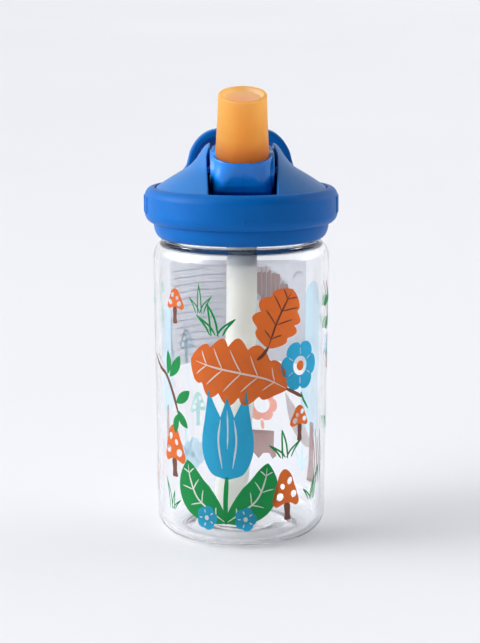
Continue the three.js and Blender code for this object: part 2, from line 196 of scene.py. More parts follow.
def rows_to_faces(rows, columns, wrap_rows=False, wrap_columns=True):
    """Quads of a grid of points. With rows going up and columns anticlockwise, they face out."""
    faces = []
    for i in range(rows if wrap_rows else rows - 1):
        low, high = i * columns, (i + 1) % rows * columns
        for j in range(columns if wrap_columns else columns - 1):
            k = (j + 1) % columns
            faces.append((low + j, low + k, high + k, high + j))
    return faces


def revolve(name, profile, material, segments=160, centre=(0, 0), bump=None):
    """Turns (radius, height) points, anticlockwise round the material, about a line along +Z.

    bump(angle, radius, height) may move a point: it gives its new radius and height.
    """
    closed = profile[0] == profile[-1]
    ring = profile[:-1] if closed else profile
    points, rows = [], []
    for r, z in ring:
        if r < 1e-9:
            rows.append([len(points)] * segments)
            points.append((centre[0], centre[1], z))
            continue
        row = []
        for j in range(segments):
            a = TAU * j / segments
            rr, zz = bump(a, r, z) if bump else (r, z)
            row.append(len(points))
            points.append((centre[0] + rr * math.cos(a), centre[1] + rr * math.sin(a), zz))
        rows.append(row)
    faces = []
    count = len(rows)
    for i in range(count if closed else count - 1):
        low, high = rows[i], rows[(i + 1) % count]
        for j in range(segments):
            k = (j + 1) % segments
            quad = list(dict.fromkeys([low[j], low[k], high[k], high[j]]))
            if len(quad) > 2:
                faces.append(quad)
    return even_normals(make(name, points, faces, material))


def loft(name, rings, material, closed_path=False):
    """Joins rings of the same number of points, each anticlockwise seen from the last ring."""
    columns = len(rings[0])
    points = [p for ring in rings for p in ring]
    faces = rows_to_faces(len(rings), columns, wrap_rows=closed_path)
    if not closed_path:
        faces.append(tuple(reversed(range(columns))))
        faces.append(tuple(range(len(points) - columns, len(points))))
    return make(name, points, faces, material)


def inset(outline, distance):
    """Moves an anticlockwise outline inwards."""
    p = np.array(outline, float)
    ahead = np.roll(p, -1, 0) - p
    ahead /= np.linalg.norm(ahead, axis=1)[:, None]
    behind = np.roll(ahead, 1, 0)
    inward = np.stack([-(ahead + behind)[:, 1], (ahead + behind)[:, 0]], 1)
    inward /= np.maximum(np.linalg.norm(inward, axis=1), 1e-6)[:, None]
    cosine = np.clip(np.abs((inward * np.stack([-ahead[:, 1], ahead[:, 0]], 1)).sum(1)), 0.5, 1)
    return [tuple(q) for q in p + inward * (distance / cosine)[:, None]]


def prism(name, outline, low, high, edge, material):
    """An upright slab with its top edge rounded."""
    rings = [[(x, y, low) for x, y in outline]]
    for x, z in arc(0, 0, edge, edge, 0, 90, 4):
        rings.append([(px, py, high - edge + z) for px, py in inset(outline, edge - x)])
    return even_normals(loft(name, rings, material))


def applied(obj):
    """A new mesh with the object's modifiers applied."""
    return bpy.data.meshes.new_from_object(obj.evaluated_get(bpy.context.evaluated_depsgraph_get()))


def joined(name, objects):
    """One object from several that have the same material."""
    first, *others = objects
    bm = bmesh.new()
    for obj in objects:
        mesh = applied(obj)
        bm.from_mesh(mesh)
        bpy.data.meshes.remove(mesh)
    mesh = bpy.data.meshes.new(name)
    bm.to_mesh(mesh)
    bm.free()
    mesh.materials.append(first.data.materials[0])
    for obj in others:
        bpy.data.objects.remove(obj)
    first.modifiers.clear()
    first.data = mesh
    first.name = name
    return even_normals(first)


def cut(obj, cutter):
    """Takes cutter out of obj."""
    modifier = obj.modifiers.new("cut", "BOOLEAN")
    modifier.operation = "DIFFERENCE"
    modifier.solver = "EXACT"
    modifier.object = cutter
    mesh = applied(obj)
    obj.modifiers.clear()
    obj.data = mesh
    bpy.data.objects.remove(cutter)
    return even_normals(obj)


def finished(obj, body, slot, *nodes):
    """Hands a piece to the frame: its body, and the CAD nodes that it stands for, which are hidden. The
    finish, slot, is not used.
    """
    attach(obj, body)
    if nodes:
        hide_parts(*nodes)
    return obj


# ---- materials ----
def srgb(r, g, b):
    """A linear colour from 0 to 255 display values."""
    def linear(c):
        c /= 255
        return c / 12.92 if c <= 0.04045 else ((c + 0.055) / 1.055) ** 2.4

    return (linear(r), linear(g), linear(b), 1)


def scaled(colour, k):
    return (*(min(1, c * k) for c in colour[:3]), 1)


class Nodes:
    """The node tree of a material or world, with short ways to add to it."""

    def __init__(self, owner):
        owner.use_nodes = True
        self.tree = owner.node_tree

    def fill(self, node, inputs):
        """Links each input to another node's output, or sets its value."""
        for key, value in inputs.items():
            if isinstance(value, bpy.types.NodeSocket):
                self.tree.links.new(value, node.inputs[key])
            else:
                node.inputs[key].default_value = value
        return node

    def add(self, kind, inputs=None, output=None, **settings):
        """Adds a node, and gives the output that is named, or the first one in use."""
        node = self.tree.nodes.new("ShaderNode" + kind)
        for key, value in settings.items():
            setattr(node, key, value)
        self.fill(node, inputs or {})
        return node.outputs[output] if output else next(o for o in node.outputs if o.enabled)

    def noise(self, scale, detail, roughness, stretch=(1, 1, 1)):
        """A noise texture fixed to the piece, at scale features to the metre."""
        place = self.add("TexCoord", output="Object")
        place = self.add("Mapping", {"Vector": place, "Scale": stretch})
        inputs = {"Vector": place, "Scale": scale, "Detail": detail, "Roughness": roughness}
        return self.add("TexNoise", inputs)

    def ramp(self, source, low, high, first=0.0, last=1.0):
        """Maps low to high of a value to another range, and holds it beyond them."""
        ends = {"From Min": low, "From Max": high, "To Min": first, "To Max": last}
        return self.add("MapRange", {"Value": source, **ends})

    def spread(self, source, low, high):
        """Maps the middle of a noise to a range."""
        return self.ramp(source, 0.3, 0.7, low, high)

    def mix(self, factor, first, second, **settings):
        return self.add("Mix", {"Factor": factor, "A": first, "B": second}, data_type="RGBA", **settings)

    def mottled(self, source, first, second):
        """A colour that drifts between two with a noise."""
        return self.mix(self.spread(source, 0, 1), first, second)

    def bumps(self, source, height, strength=1.0):
        """A bump of a height in metres."""
        return self.add("Bump", {"Height": source, "Distance": height, "Strength": strength})

    def vector(self, operation, first, second=(0, 0, 0)):
        return self.add("VectorMath", {0: first, 1: second}, operation=operation)

    def math(self, operation, first, second, **settings):
        return self.add("Math", {0: first, 1: second}, operation=operation, **settings)

    def principled(self, inputs):
        return self.fill(self.tree.nodes["Principled BSDF"], inputs).outputs[0]

    def surface(self, factor, first, second):
        """Shows a mix of two shaders."""
        both = self.add("MixShader", {0: factor, 1: first, 2: second})
        self.fill(self.tree.nodes["Material Output"], {"Surface": both})


def moulded(name, colour, rough, grain, gloss):
    """Injection-moulded plastic: a fine spark-eroded grain and faint clouds of colour and sheen."""
    material = bpy.data.materials.new(name)
    nodes = Nodes(material)
    clouds = nodes.noise(60, 4, 0.6)
    fine = nodes.noise(2600, 2, 0.6)
    nodes.principled({
        "Base Color": nodes.mottled(clouds, scaled(colour, 0.95), scaled(colour, 1.07)),
        "Roughness": nodes.spread(fine, rough - 0.05, rough + 0.07),
        "Normal": nodes.bumps(fine, grain),
        "IOR": 1.49,
        "Specular IOR Level": gloss,
        "Subsurface Weight": 0.06,
        "Subsurface Radius": (0.2, 0.4, 1.0),
        "Subsurface Scale": 0.002,
    })
    return material


def clear_plastic():
    """Clear copolyester with the slight waviness of a blown wall. Lamps shine straight through it."""
    material = bpy.data.materials.new("clear_plastic")
    nodes = Nodes(material)
    waves = nodes.noise(70, 1.5, 0.4, (1, 1, 0.35))
    wall = nodes.principled({
        "Base Color": (0.985, 0.99, 1.0, 1),
        "Roughness": 0.0,
        "IOR": 1.5,
        "Transmission Weight": 1.0,
        "Normal": nodes.bumps(waves, 0.0003, 0.12),
    })
    clear = nodes.add("BsdfTransparent", {"Color": (0.985, 0.987, 0.99, 1)})
    nodes.surface(nodes.add("LightPath", output="Is Shadow Ray"), wall, clear)
    return material


def milky(name, colour, deep, rough, clarity, glow, colour_and_shade=None):
    """Milky silicone or polyethylene: clarity is how much it shows through, glow what it scatters on.

    A function given last, called with (nodes, colour), may give the mottled colour its hue with painted shade
    and glow.
    """
    material = bpy.data.materials.new(name)
    nodes = Nodes(material)
    tint = nodes.mottled(nodes.noise(90, 2, 0.5), colour, deep)
    if colour_and_shade:
        tint = colour_and_shade(nodes, tint)
    solid = nodes.principled({
        "Base Color": tint,
        "Roughness": nodes.spread(nodes.noise(700, 2, 0.5), rough - 0.04, rough + 0.05),
        "IOR": 1.41,
        "Transmission Weight": clarity,
    })
    nodes.surface(glow, solid, nodes.add("BsdfTranslucent", {"Color": tint}))
    return material


def valve_orange_and_painted_shade(nodes, clouded):
    """The silicone's orange, with painted shade deepening it towards the socket and a painted glow paling the
    thin dish at the tip.
    """
    lean = math.radians(SPOUT_LEAN)
    axis = Vector((0, -math.sin(lean), math.cos(lean)))
    base = axis.dot(PIVOT) * MM
    place = nodes.add("TexCoord", output="Object")
    along = nodes.ramp(nodes.vector("DOT_PRODUCT", place, axis), base + 5 * MM, base + VALVE_TOP * MM)
    orange_shade_ramp = nodes.tree.nodes.new("ShaderNodeValToRGB")
    # The silicone's orange with painted shade: deeper towards the socket, paler towards the tip.
    stops = ((0.0, (236, 104, 22)), (0.16, (254, 166, 72)), (0.4, (255, 208, 112)), (1.0, (255, 212, 126)))
    while len(orange_shade_ramp.color_ramp.elements) < len(stops):
        orange_shade_ramp.color_ramp.elements.new(0.5)
    for element, (position, colour) in zip(orange_shade_ramp.color_ramp.elements, stops):
        element.position = position
        element.color = srgb(*colour)
    nodes.fill(orange_shade_ramp, {"Fac": along})
    aside = nodes.vector("CROSS_PRODUCT", nodes.vector("SUBTRACT", place, PIVOT * MM), axis)
    in_dish = nodes.ramp(nodes.vector("LENGTH", aside), 8.6 * MM, 7.7 * MM)
    at_tip = nodes.ramp(along, 0.88, 0.9)
    # Painted glow: the thin dish at the tip is paled as though light shone through it.
    dish_glow = nodes.mix(nodes.math("MULTIPLY", in_dish, at_tip), orange_shade_ramp.outputs["Color"], srgb(255, 236, 216))
    return nodes.mix(1.0, clouded, dish_glow, blend_type="MULTIPLY")


def printed(name, colour, inner_with_painted_light):
    """A film of ink that lets some light through, with a paler colour on its inner side: the ink lightened
    with painted light from behind.
    """
    material = bpy.data.materials.new(name)
    nodes = Nodes(material)
    clouds = nodes.noise(130, 5, 0.65)
    outer = nodes.mottled(clouds, scaled(colour, 0.94), scaled(colour, 1.05))
    # Painted light: the inner side takes the ink lightened as if lit from behind.
    inner = nodes.mottled(clouds, scaled(inner_with_painted_light, 0.95), scaled(inner_with_painted_light, 1.03))
    tint = nodes.mix(nodes.add("NewGeometry", output="Backfacing"), outer, inner)
    fine = nodes.noise(3200, 2, 0.6)
    ink = nodes.principled({"Base Color": tint, "Roughness": nodes.spread(fine, 0.38, 0.52)})
    nodes.surface(0.5, ink, nodes.add("BsdfTranslucent", {"Color": tint}))
    return material


BAND_BLUE = moulded("band_plastic", srgb(0, 95, 172), 0.4, 0.000014, 0.12)
COVER_BLUE = moulded("cover_plastic", srgb(0, 104, 176), 0.4, 0.00002, 0.45)
# Painted light: the spout's blue is brighter than the plastic, to make up for the shade on its down-facing
# front.
SPOUT_BLUE_WITH_PAINTED_LIGHT = moulded("spout_plastic_painted_light", srgb(0, 124, 218), 0.2, 0.000006, 0.5)
CLEAR = clear_plastic()
ORANGE_SILICONE = milky(
    "orange_silicone", srgb(255, 255, 255), srgb(252, 248, 240), 0.38, 0.5, 0.5, valve_orange_and_painted_shade
)
WHITE_SILICONE = milky("white_silicone", srgb(238, 240, 240), srgb(230, 233, 234), 0.35, 0.1, 0.3)
STRAW_MILKY = milky("straw_plastic", srgb(254, 254, 250), srgb(250, 250, 246), 0.35, 0.5, 0.6)


# ---- the clear body ----
def thread_bump(radius, start, drop=0.0, first=0.0, last=TAU, outward=1):
    """A bump for revolve(): a right-hand thread ridge standing on a cylinder of this radius."""
    def bump(angle, r, z):
        if abs(r - radius) > 0.05:
            return r, z
        best = 0.0
        for turn in (0, 1):
            a = angle + turn * TAU
            if not first <= a <= last:
                continue
            ramp = min(1.0, (a - first) / 0.4, (last - a) / 0.4)
            off = abs(z - (start - drop + PITCH * a / TAU))
            best = max(best, ramp * min(1.0, max(0.0, (1.1 - off) / 0.55)))
        return r + outward * THREAD_HEIGHT * best, z

    return bump


def clear_body():
    slope = (BODY_R - BODY_FOOT_R) / (SHOULDER_LOW - BASE_CORNER)
    foot_centre = BODY_FOOT_R - BASE_CORNER
    thread_rows = [(NECK_R, 126.4 + 0.3 * i) for i in range(30)]
    deep = SHOULDER_TOP - SHOULDER_LOW
    curve_centre = BODY_R - SHOULDER_CORNER
    bead_radius, bead_height, bead_width = 33.2, 0.4, 0.35
    shoulder = [
        (r, z + bead_height * math.exp(-(((r - bead_radius) / bead_width) ** 2)))
        for r, z in arc(curve_centre, SHOULDER_LOW, SHOULDER_CORNER, deep, 0, 88, 44)
    ]
    outer = [
        (0, 2.5),
        *rounded([(10, 2.3), (19, 1.5, 4), (23.6, 0.0, 1.2), (25, 0)], 5),
        *arc(foot_centre, BASE_CORNER, BASE_CORNER, BASE_CORNER, -88, 0, 16),
        *[(BODY_FOOT_R + slope * h, BASE_CORNER + h) for h in (20, 45, 70, 90, 104)],
        *shoulder,
        *rounded([(30.6, SHOULDER_TOP), (NECK_R, SHOULDER_TOP, 0.8), (NECK_R, 125.8)], 4),
        *thread_rows,
    ]
    inside = [
        *rounded(
            [(NECK_R, 135.2), (NECK_R, NECK_TOP, 0.5), (NECK_BORE, NECK_TOP, 0.5), (NECK_BORE, 130)], 4
        ),
        *rounded([(NECK_BORE, 124), (NECK_BORE, SHOULDER_TOP - WALL, 0.8), (29, SHOULDER_TOP - WALL)], 5),
        *arc(curve_centre, SHOULDER_LOW, SHOULDER_CORNER - WALL, deep - WALL, 88, 0, 12),
        *[(BODY_FOOT_R + slope * h - WALL, BASE_CORNER + h) for h in (90, 60, 30)],
        *arc(foot_centre, BASE_CORNER, BASE_CORNER - WALL, BASE_CORNER - WALL, 0, -88, 14),
        *rounded([(25, 2.25), (22, 2.6, 1.5), (14, 4.0, 3), (6, 4.6)], 6),
        (0, 4.7),
    ]
    bump = thread_bump(NECK_R, THREAD_START)
    body = revolve("clear_body", outer + inside, CLEAR, 192, bump=bump)
    return finished(body, "bottle", "clear_body", "bottle_body")


# ---- the cap ----
def threaded_cap():
    lip_outer, bowl_top, ceiling = CAP_BORE + 1.2, 131.2, 137.5
    skirt = [
        (CAP_BORE, CAP_LIP + 0.4),
        (CAP_BORE + 0.3, CAP_LIP),
        (lip_outer, CAP_LIP),
        *arc(lip_outer, bowl_top, CAP_R - lip_outer, bowl_top - CAP_LIP, -84, 0, 14),
        *rounded([(CAP_R, BAND_HIDDEN), (CAP_R, DECK_TOP, 0.6), (5, DECK_TOP)], 3),
    ]
    rows = [(CAP_BORE, ceiling - 1 - 0.3 * i) for i in range(38)]
    profile = [(0, ceiling), *rounded([(20, ceiling), (CAP_BORE, ceiling, 0.8), (CAP_BORE, 136.6)], 4)]
    profile += [*rows, *skirt, (0, DECK_TOP)]
    bump = thread_bump(CAP_BORE, THREAD_START, 1.8, 0.14, 5.76, -1)
    cap = revolve("threaded_cap", profile, BAND_BLUE, 192, bump=bump)
    spigot = revolve(
        "spigot",
        [
            (PORT_BORE, 114),
            *rounded([(4.2, 114), (4.6, 114.6, 0.4), (4.6, 138)], 4),
            (PORT_BORE, 138),
            (PORT_BORE, 114),
        ],
        BAND_BLUE,
        48,
        (0, PORT_Y),
    )
    return finished(joined("threaded_cap", [cap, spigot]), "lid", "cap_blue", "screw_cap")


def grip_rib(angle):
    """One upright rib on the band's side, with soft edges."""
    half_turn = math.radians(1.15)
    middle = (BAND_LOW + BAND_TOP) / 2 + 0.4
    rings = []
    for z, share in [(-3.7, 0), (-3.55, 0.6), (-3.2, 1), (3.2, 1), (3.55, 0.6), (3.7, 0)]:
        ring = []
        for k in range(9):
            t = k / 4 - 1
            proud = (1 - abs(t) ** 3) * 0.44 * share
            a = angle + t * half_turn
            r = BAND_R - 0.12 + proud
            ring.append((r * math.cos(a), r * math.sin(a), middle + z))
        back = BAND_R - 1
        for a in (angle + half_turn, angle - half_turn):
            ring.append((back * math.cos(a), back * math.sin(a), middle + z))
        rings.append(ring)
    return loft("grip_rib", rings, BAND_BLUE)


def cap_band():
    inner, seam = CAP_R + 0.25, SEAM_R + 0.35
    profile = [
        *rounded([(inner, BAND_HIDDEN), (inner, BAND_LOW, 0.2), (CAP_R + 0.7, BAND_LOW)], 3),
        *arc(BAND_R - 3.6, BAND_LOW + 4.4, 3.6, 4.5, -80, 0, 12),
        *arc(BAND_R - 3.3, BAND_TOP - 4.2, 3.3, 4.2, 6, 84, 12),
        *rounded([(36.9, BAND_TOP), (seam, BAND_TOP, 0.45), (seam, 141)], 5),
        (seam, COVER_BASE + 0.2),
        (inner, COVER_BASE + 0.2),
        (inner, BAND_HIDDEN),
    ]
    band = revolve("band_ring", profile, BAND_BLUE, 224)
    ribs = [grip_rib(side + math.radians(7) * (i - 2)) for side in (0, math.pi) for i in range(5)]
    tick = grip_rib(-math.pi / 2)
    middle = (BAND_LOW + BAND_TOP) / 2 * MM
    smaller = Matrix.Diagonal((0.3, 1, 0.3, 1)) @ Matrix.Translation((0, 0, -middle))
    tick.data.transform(Matrix.Translation((0, 0.1 * MM, middle - 3.2 * MM)) @ smaller)
    return joined("cap_band", [band, *ribs, tick])


def carry_loop():
    """The strap over the rear. Its opening narrows towards the back, like a funnel."""
    outer = [
        (0, 168.4), (6, 168.15), (11.3, 167.3), (14.4, 166.2), (17.0, 164.3), (19.2, 161.8),
        (21.1, 158.4), (22.1, 154.8), (22.9, 152.1), (24.7, 149.8), (28.2, 147.9), (31.5, 146.2),
    ]
    rim = [
        (0, 165.3), (5.4, 165.1), (9.9, 164.4), (12.7, 163.5), (14.7, 162.1), (16.6, 160.0),
        (18.2, 157.2), (18.9, 154.4), (19.1, 152.0), (19.3, 150.0), (19.6, 148.0), (20.2, 146.2),
    ]
    rear = [
        (0, 159.4), (3.9, 159.35), (7.3, 159.2), (9.8, 158.9), (11.6, 158.3), (13.0, 157.3),
        (14.2, 155.7), (14.8, 154.0), (15.0, 152.4), (15.0, 150.4), (15.0, 148.2), (15.0, 146.2),
    ]
    half = [(*o, *i, *r) for o, i, r in zip(outer, rim, rear)]
    other = [(-a, b, -c, d, -e, f) for a, b, c, d, e, f in reversed(half[1:])]
    depth, front, lean, outmost = 8.4, 20.6, math.tan(math.radians(6)), 37.6
    rings = []
    for station in through(other + half, 1.2):
        o, i, r = (Vector(station[k : k + 2]) for k in (0, 2, 4))
        first = (i - o).length
        second = first + (r - i).length
        corners = [(0, depth, 1.8), (0, 0, 1.5), (first, 0, 0.9), (second, depth, 1.2)]
        ring = []
        for along, y in rounded(corners, 4, closed=True):
            if along < first:
                x, z = o.lerp(i, along / first)
            else:
                x, z = i.lerp(r, (along - first) / (second - first))
            y += front + max(0, z - BAND_TOP) * lean
            x = math.copysign(min(abs(x), math.sqrt(outmost**2 - y * y)), x)
            ring.append((x, y, z))
        rings.append(ring[::-1])
    loop = loft("carry_loop", rings, BAND_BLUE)
    front, radius = 19.95, 36.8
    edge = math.sqrt(radius**2 - front**2)
    turn = math.degrees(math.atan2(front, edge))
    outline = [(-edge + 0.2 * k * edge, front) for k in range(10)]
    outline += arc(0, 0, radius, radius, turn, 180 - turn, 40)[:-1]
    shelf = prism("shelf", outline, 143.2, BAND_TOP - 0.06, 0.7, BAND_BLUE)
    return loop, shelf


def band_and_loop():
    loop, shelf = carry_loop()
    piece = joined("carry_band_and_loop", [cap_band(), shelf, even_normals(loop)])
    return finished(piece, "lid", "cap_blue", "carry_band")


# ---- the cover ----
# The bell's height against the share of the way from its peak line to the seam.
BELL = np.array(
    [
        (0.0, 164.75), (0.22, 164.7), (0.35, 164.4), (0.405, 163.5), (0.44, 162.3), (0.482, 160.1),
        (0.545, 157.0), (0.625, 154.2), (0.745, 151.6), (0.87, 148.8), (0.95, 146.9), (1.0, 145.7),
        (1.04, 144.8),
    ]
)
PEAK_Y = -9.0


def steady(points, x):
    """A smooth curve through points that adds no bumps of its own (monotone cubic)."""
    px, py = points[:, 0], points[:, 1]
    step = np.diff(px)
    slope = np.diff(py) / step
    ends = np.zeros(len(px))
    same = slope[1:] * slope[:-1] > 0
    ends[1:-1][same] = 2 * slope[1:][same] * slope[:-1][same] / (slope[1:] + slope[:-1])[same]
    i = int(np.clip(np.searchsorted(px, x) - 1, 0, len(step) - 1))
    t = (x - px[i]) / step[i]
    h00, h10 = (1 + 2 * t) * (1 - t) ** 2, t * (1 - t) ** 2
    h01, h11 = t * t * (3 - 2 * t), t * t * (t - 1)
    return h00 * py[i] + h10 * step[i] * ends[i] + h01 * py[i + 1] + h11 * step[i] * ends[i + 1]


def bell_height(x, y):
    dx, dy = x, y - PEAK_Y
    away = math.hypot(dx, dy)
    if away < 1e-6:
        return float(BELL[0, 1])
    along = -PEAK_Y * dy / away
    reach = along + math.sqrt(max(0.0, SEAM_R**2 - PEAK_Y**2 + along**2))
    return float(steady(BELL, min(1.04, away / reach * 1.01)))


def rolled(distance, radius):
    """How far a surface drops at this distance from an edge rounded to radius."""
    if distance >= radius:
        return 0.0
    return radius - math.sqrt(max(0.0, radius**2 - (radius - max(0.0, distance)) ** 2))


def edge_spacing(length, radius, count):
    """Distances along a line, close together at both ends."""
    near = [radius * (1 - math.cos(math.radians(a))) for a in (0, 20, 40, 60, 80)]
    near = [min(d, length * 0.2 * (i + 1) / 5) for i, d in enumerate(near)]
    start, stop = near[-1], length - near[-1]
    middle = [start + (stop - start) * k / count for k in range(1, count)]
    return near + middle + [length - d for d in reversed(near)]


def slot_half(y, z):
    """Half the width of the slot between the cheeks: it opens upwards in front of the pivot."""
    ahead = SLOT_HALF + SLOT_TAPER * (z - SILL)
    return ahead + (SLOT_HALF_REAR - ahead) * ease(y, -14, -10.5)


def cheek(side):
    """One half of the domed cover, beside the slot."""
    front = -math.sqrt(SEAM_R**2 - SLOT_HALF**2) + 0.15
    inner_edge, outer_edge, rear_edge = 0.7, 0.5, 0.6
    top, floor = [], COVER_BASE + 0.3
    for along in edge_spacing(COVER_REAR - front, rear_edge, 44):
        y = front + along
        edge = math.sqrt(max(0.0, SEAM_R**2 - y * y))
        slot = slot_half(y, bell_height(SLOT_HALF, y))
        row = []
        for d in edge_spacing(max(0.02, edge - slot), inner_edge, 26):
            x = slot + d
            z = bell_height(x, y)
            z -= rolled(d, inner_edge) + rolled(max(0.0, edge - x), outer_edge)
            z -= rolled(COVER_REAR - y, rear_edge)
            row.append((side * x, y, z))
        top.append(row)
    rows, columns = len(top), len(top[0])
    points = [p for row in top for p in row]
    faces = rows_to_faces(rows, columns, wrap_columns=False)
    rim = border(rows, columns)
    base, count = len(points), len(rim)
    for i, j in rim:
        x, y, _ = top[i][j]
        points.append((side * slot_half(y, floor) if j == 0 else x, y, floor))
    rim = [i * columns + j for i, j in rim]
    for i in range(count):
        j = (i + 1) % count
        faces.append((rim[j], rim[i], base + i, base + j))
    faces.append(tuple(base + i for i in reversed(range(count))))
    if side < 0:
        faces = [tuple(reversed(f)) for f in faces]
    return make("cheek", points, faces, COVER_BLUE)


def border(rows, columns):
    """Grid places round the edge of a grid, anticlockwise with rows up and columns to the right."""
    out = [(0, j) for j in range(columns)]
    out += [(i, columns - 1) for i in range(1, rows)]
    out += [(rows - 1, j) for j in range(columns - 2, -1, -1)]
    out += [(i, 0) for i in range(rows - 2, 0, -1)]
    return out


def domed_cover():
    wide, front, base = SLOT_HALF + 1.5, -33.4, COVER_BASE + 0.3
    outline = [(-wide, front), (wide, front), (wide, COVER_REAR), (-wide, COVER_REAR)]
    floor = prism("well_floor", outline, base, WELL_FLOOR, 0.05, COVER_BLUE)
    half = math.degrees(math.asin(SLOT_HALF / SEAM_R)) + 2
    outline = arc(0, 0, SEAM_R, SEAM_R, -90 - half, -90 + half, 24)
    outline += [(SLOT_HALF + 1, -32.2), (-SLOT_HALF - 1, -32.2)]
    sill = prism("well_sill", outline, base + 0.1, SILL, 0.5, COVER_BLUE)
    for radius, y in ((6.2, PORT_Y), (3.0, VENT_Y)):  # the holes over the port and the vent
        profile = [(0, 139), (radius, 139), (radius, 143), (0, 143)]
        cut(floor, revolve("cutter", profile, COVER_BLUE, 48, (0, y)))
    piece = joined("domed_cover", [cheek(1), cheek(-1), floor, sill])
    return finished(piece, "lid", "cover_blue", "cap_cover")


# ---- the spout and its valve, drawn about the pivot with the spout's axis along +Z ----
TILT = Matrix.Translation(PIVOT * MM) @ Matrix.Rotation(math.radians(SPOUT_LEAN), 4, "X")


def tilted(obj):
    obj.data.transform(TILT)
    return obj


def plan_ring(half_width, front, rear, front_corner, rear_corner, z):
    """A rounded rectangle with a fixed number of points, anticlockwise from its front left."""
    w, f, r, steps = half_width, front_corner, rear_corner, 10
    centres = (
        (f - w, f - front, f, 180),
        (w - f, f - front, f, 270),
        (w - r, rear - r, r, 0),
        (r - w, rear - r, r, 90),
    )
    corners = [arc(x, y, radius, radius, start, start + 90, steps) for x, y, radius, start in centres]
    out = []
    for i, corner in enumerate(corners):
        a, b = Vector(corner[-1]), Vector(corners[(i + 1) % 4][0])
        out += corner + [a.lerp(b, k / steps) for k in range(1, steps)]
    return [(x, y, z) for x, y in out]


def ease(x, low, high):
    t = min(1.0, max(0.0, (x - low) / (high - low)))
    return t * t * (3 - 2 * t)


FOLD = -1.7  # local height of the crease across the face of the block
RIM = 7.7


def face_depth(z):
    """How far the face of the block stands in front of the pivot, under its rim and on its bevel."""
    if z < FOLD:
        return 12.32 - 0.2 * (FOLD - z)
    return 12.32 - 0.7 * (z - FOLD) / (RIM - FOLD)


def spout_block():
    """The block that carries the mouthpiece: a near half circle at its rim, a barrel below."""
    barrel, rear, foot, socket, rim_half = 11.3, 11.5, -4.8, 11.0, 12.5
    levels = [-barrel * math.cos(math.radians(a)) for a in range(4, 61, 4)] + [-5.2]
    levels += [foot + h for h in (-0.02, 0.06, 0.2, 0.5, 1.0, 1.8, 2.5)]
    levels += [FOLD + h for h in (-0.25, -0.1, 0, 0.1, 0.25, 0.8, 1.7, 2.7, 3.7, 4.7, 5.7, 6.7, 7.7, 8.6)]
    rings = []
    for z in levels:
        swell = math.sqrt(barrel**2 - z * z) if z < 0 else barrel
        back = swell + (rear - barrel) * ease(z, -1, 2)
        ahead = swell if z < foot else face_depth(z) - rolled(z - foot, 0.35)
        half = rim_half - 0.65 * (1 - max(0.0, (z - foot) / (RIM - foot)))
        half -= rolled(z + barrel, 1.0) * 0.4
        front_corner = 1.2 + 1.6 * ease(z, foot - 1.5, foot) + 3.2 * ease(z, foot, FOLD + 0.5)
        front_corner += 5 * ease(z, FOLD, RIM + 1)
        rear_corner = 1 + 5 * ease(z, 3.2, 6.6)
        limit = (ahead + back) * 0.49
        rings.append(plan_ring(half, ahead, back, min(front_corner, limit), min(rear_corner, limit), z))
    edge, front, corner = 0.6, face_depth(RIM), 10.6
    for x, y in arc(0, 0, edge, edge, 15, 90, 5):
        d = edge - x
        rings.append(plan_ring(rim_half - d, front - d * 0.7, rear - d, corner - d, 6 - d, RIM - edge + y))
    for d, drop in ((0.7, 0), (0.95, 0.05), (1.05, 0.2)):
        rings.append(plan_ring(rim_half - d, front - d * 0.5, rear - d * 0.6, corner - d, 6 - d, RIM - drop))
    circle = [math.atan2(p[1], p[0]) for p in rings[-1]]
    for radius, z in ((socket + 0.06, 7.4), (socket, 7.2), (socket, 6.8), (socket, 0.2), (2.6, 0.2)):
        rings.append([(radius * math.cos(a), radius * math.sin(a), z) for a in circle])
    return even_normals(loft("spout_block", rings, SPOUT_BLUE_WITH_PAINTED_LIGHT))


def hubs():
    """The discs that close the gaps beside the block, deeper behind the pivot than in front."""
    front_radius, rear_radius, half = 8, 11.1, 12.85
    outline = arc(0, 0, front_radius, front_radius, 90, 270, 30)
    outline += arc(0, 0, rear_radius, rear_radius, -90, 24, 40) + [(7, 7)]
    hub = prism("hub", outline, -half, half, 0.4, SPOUT_BLUE_WITH_PAINTED_LIGHT)
    turn = Matrix(((0, 0, 1, 0), (1, 0, 0, 0), (0, 1, 0, 0), (0, 0, 0, 1)))
    hub.data.transform(turn)
    return hub


def flip_spout():
    nipple = revolve(
        "nipple",
        [
            (2.6, -4),
            (4.6, -4),
            *rounded([(4.6, 8), (4.6, 10, 0.8), (2.6, 10, 0.3), (2.6, 8)], 4),
            (2.6, -4),
        ],
        SPOUT_BLUE_WITH_PAINTED_LIGHT,
        64,
    )
    reach = 15.4
    pin = revolve(
        "pin",
        [
            (0, -reach),
            *rounded([(1.5, -reach), (1.7, -reach, 0.3), (1.7, reach, 0.3), (1.5, reach)], 3),
            (0, reach),
        ],
        SPOUT_BLUE_WITH_PAINTED_LIGHT,
        48,
    )
    pin.data.transform(Matrix.Rotation(math.pi / 2, 4, "Y"))
    line = make(
        "parting_line",
        [
            (s * 0.16, 0.02 - face_depth(z) - d * 0.12, z)
            for z in (-4.2, -3, FOLD, 7.1)
            for s, d in ((-1, 0), (0, 1), (1, 0))
        ],
        [(k, k + 1, k + 4, k + 3) for row in (0, 3, 6) for k in (row, row + 1)],
        SPOUT_BLUE_WITH_PAINTED_LIGHT,
    )
    piece = joined("flip_spout_block", [tilted(o) for o in (spout_block(), hubs(), nipple, pin, line)])
    return finished(piece, "spout", "spout_blue", "flip_spout")


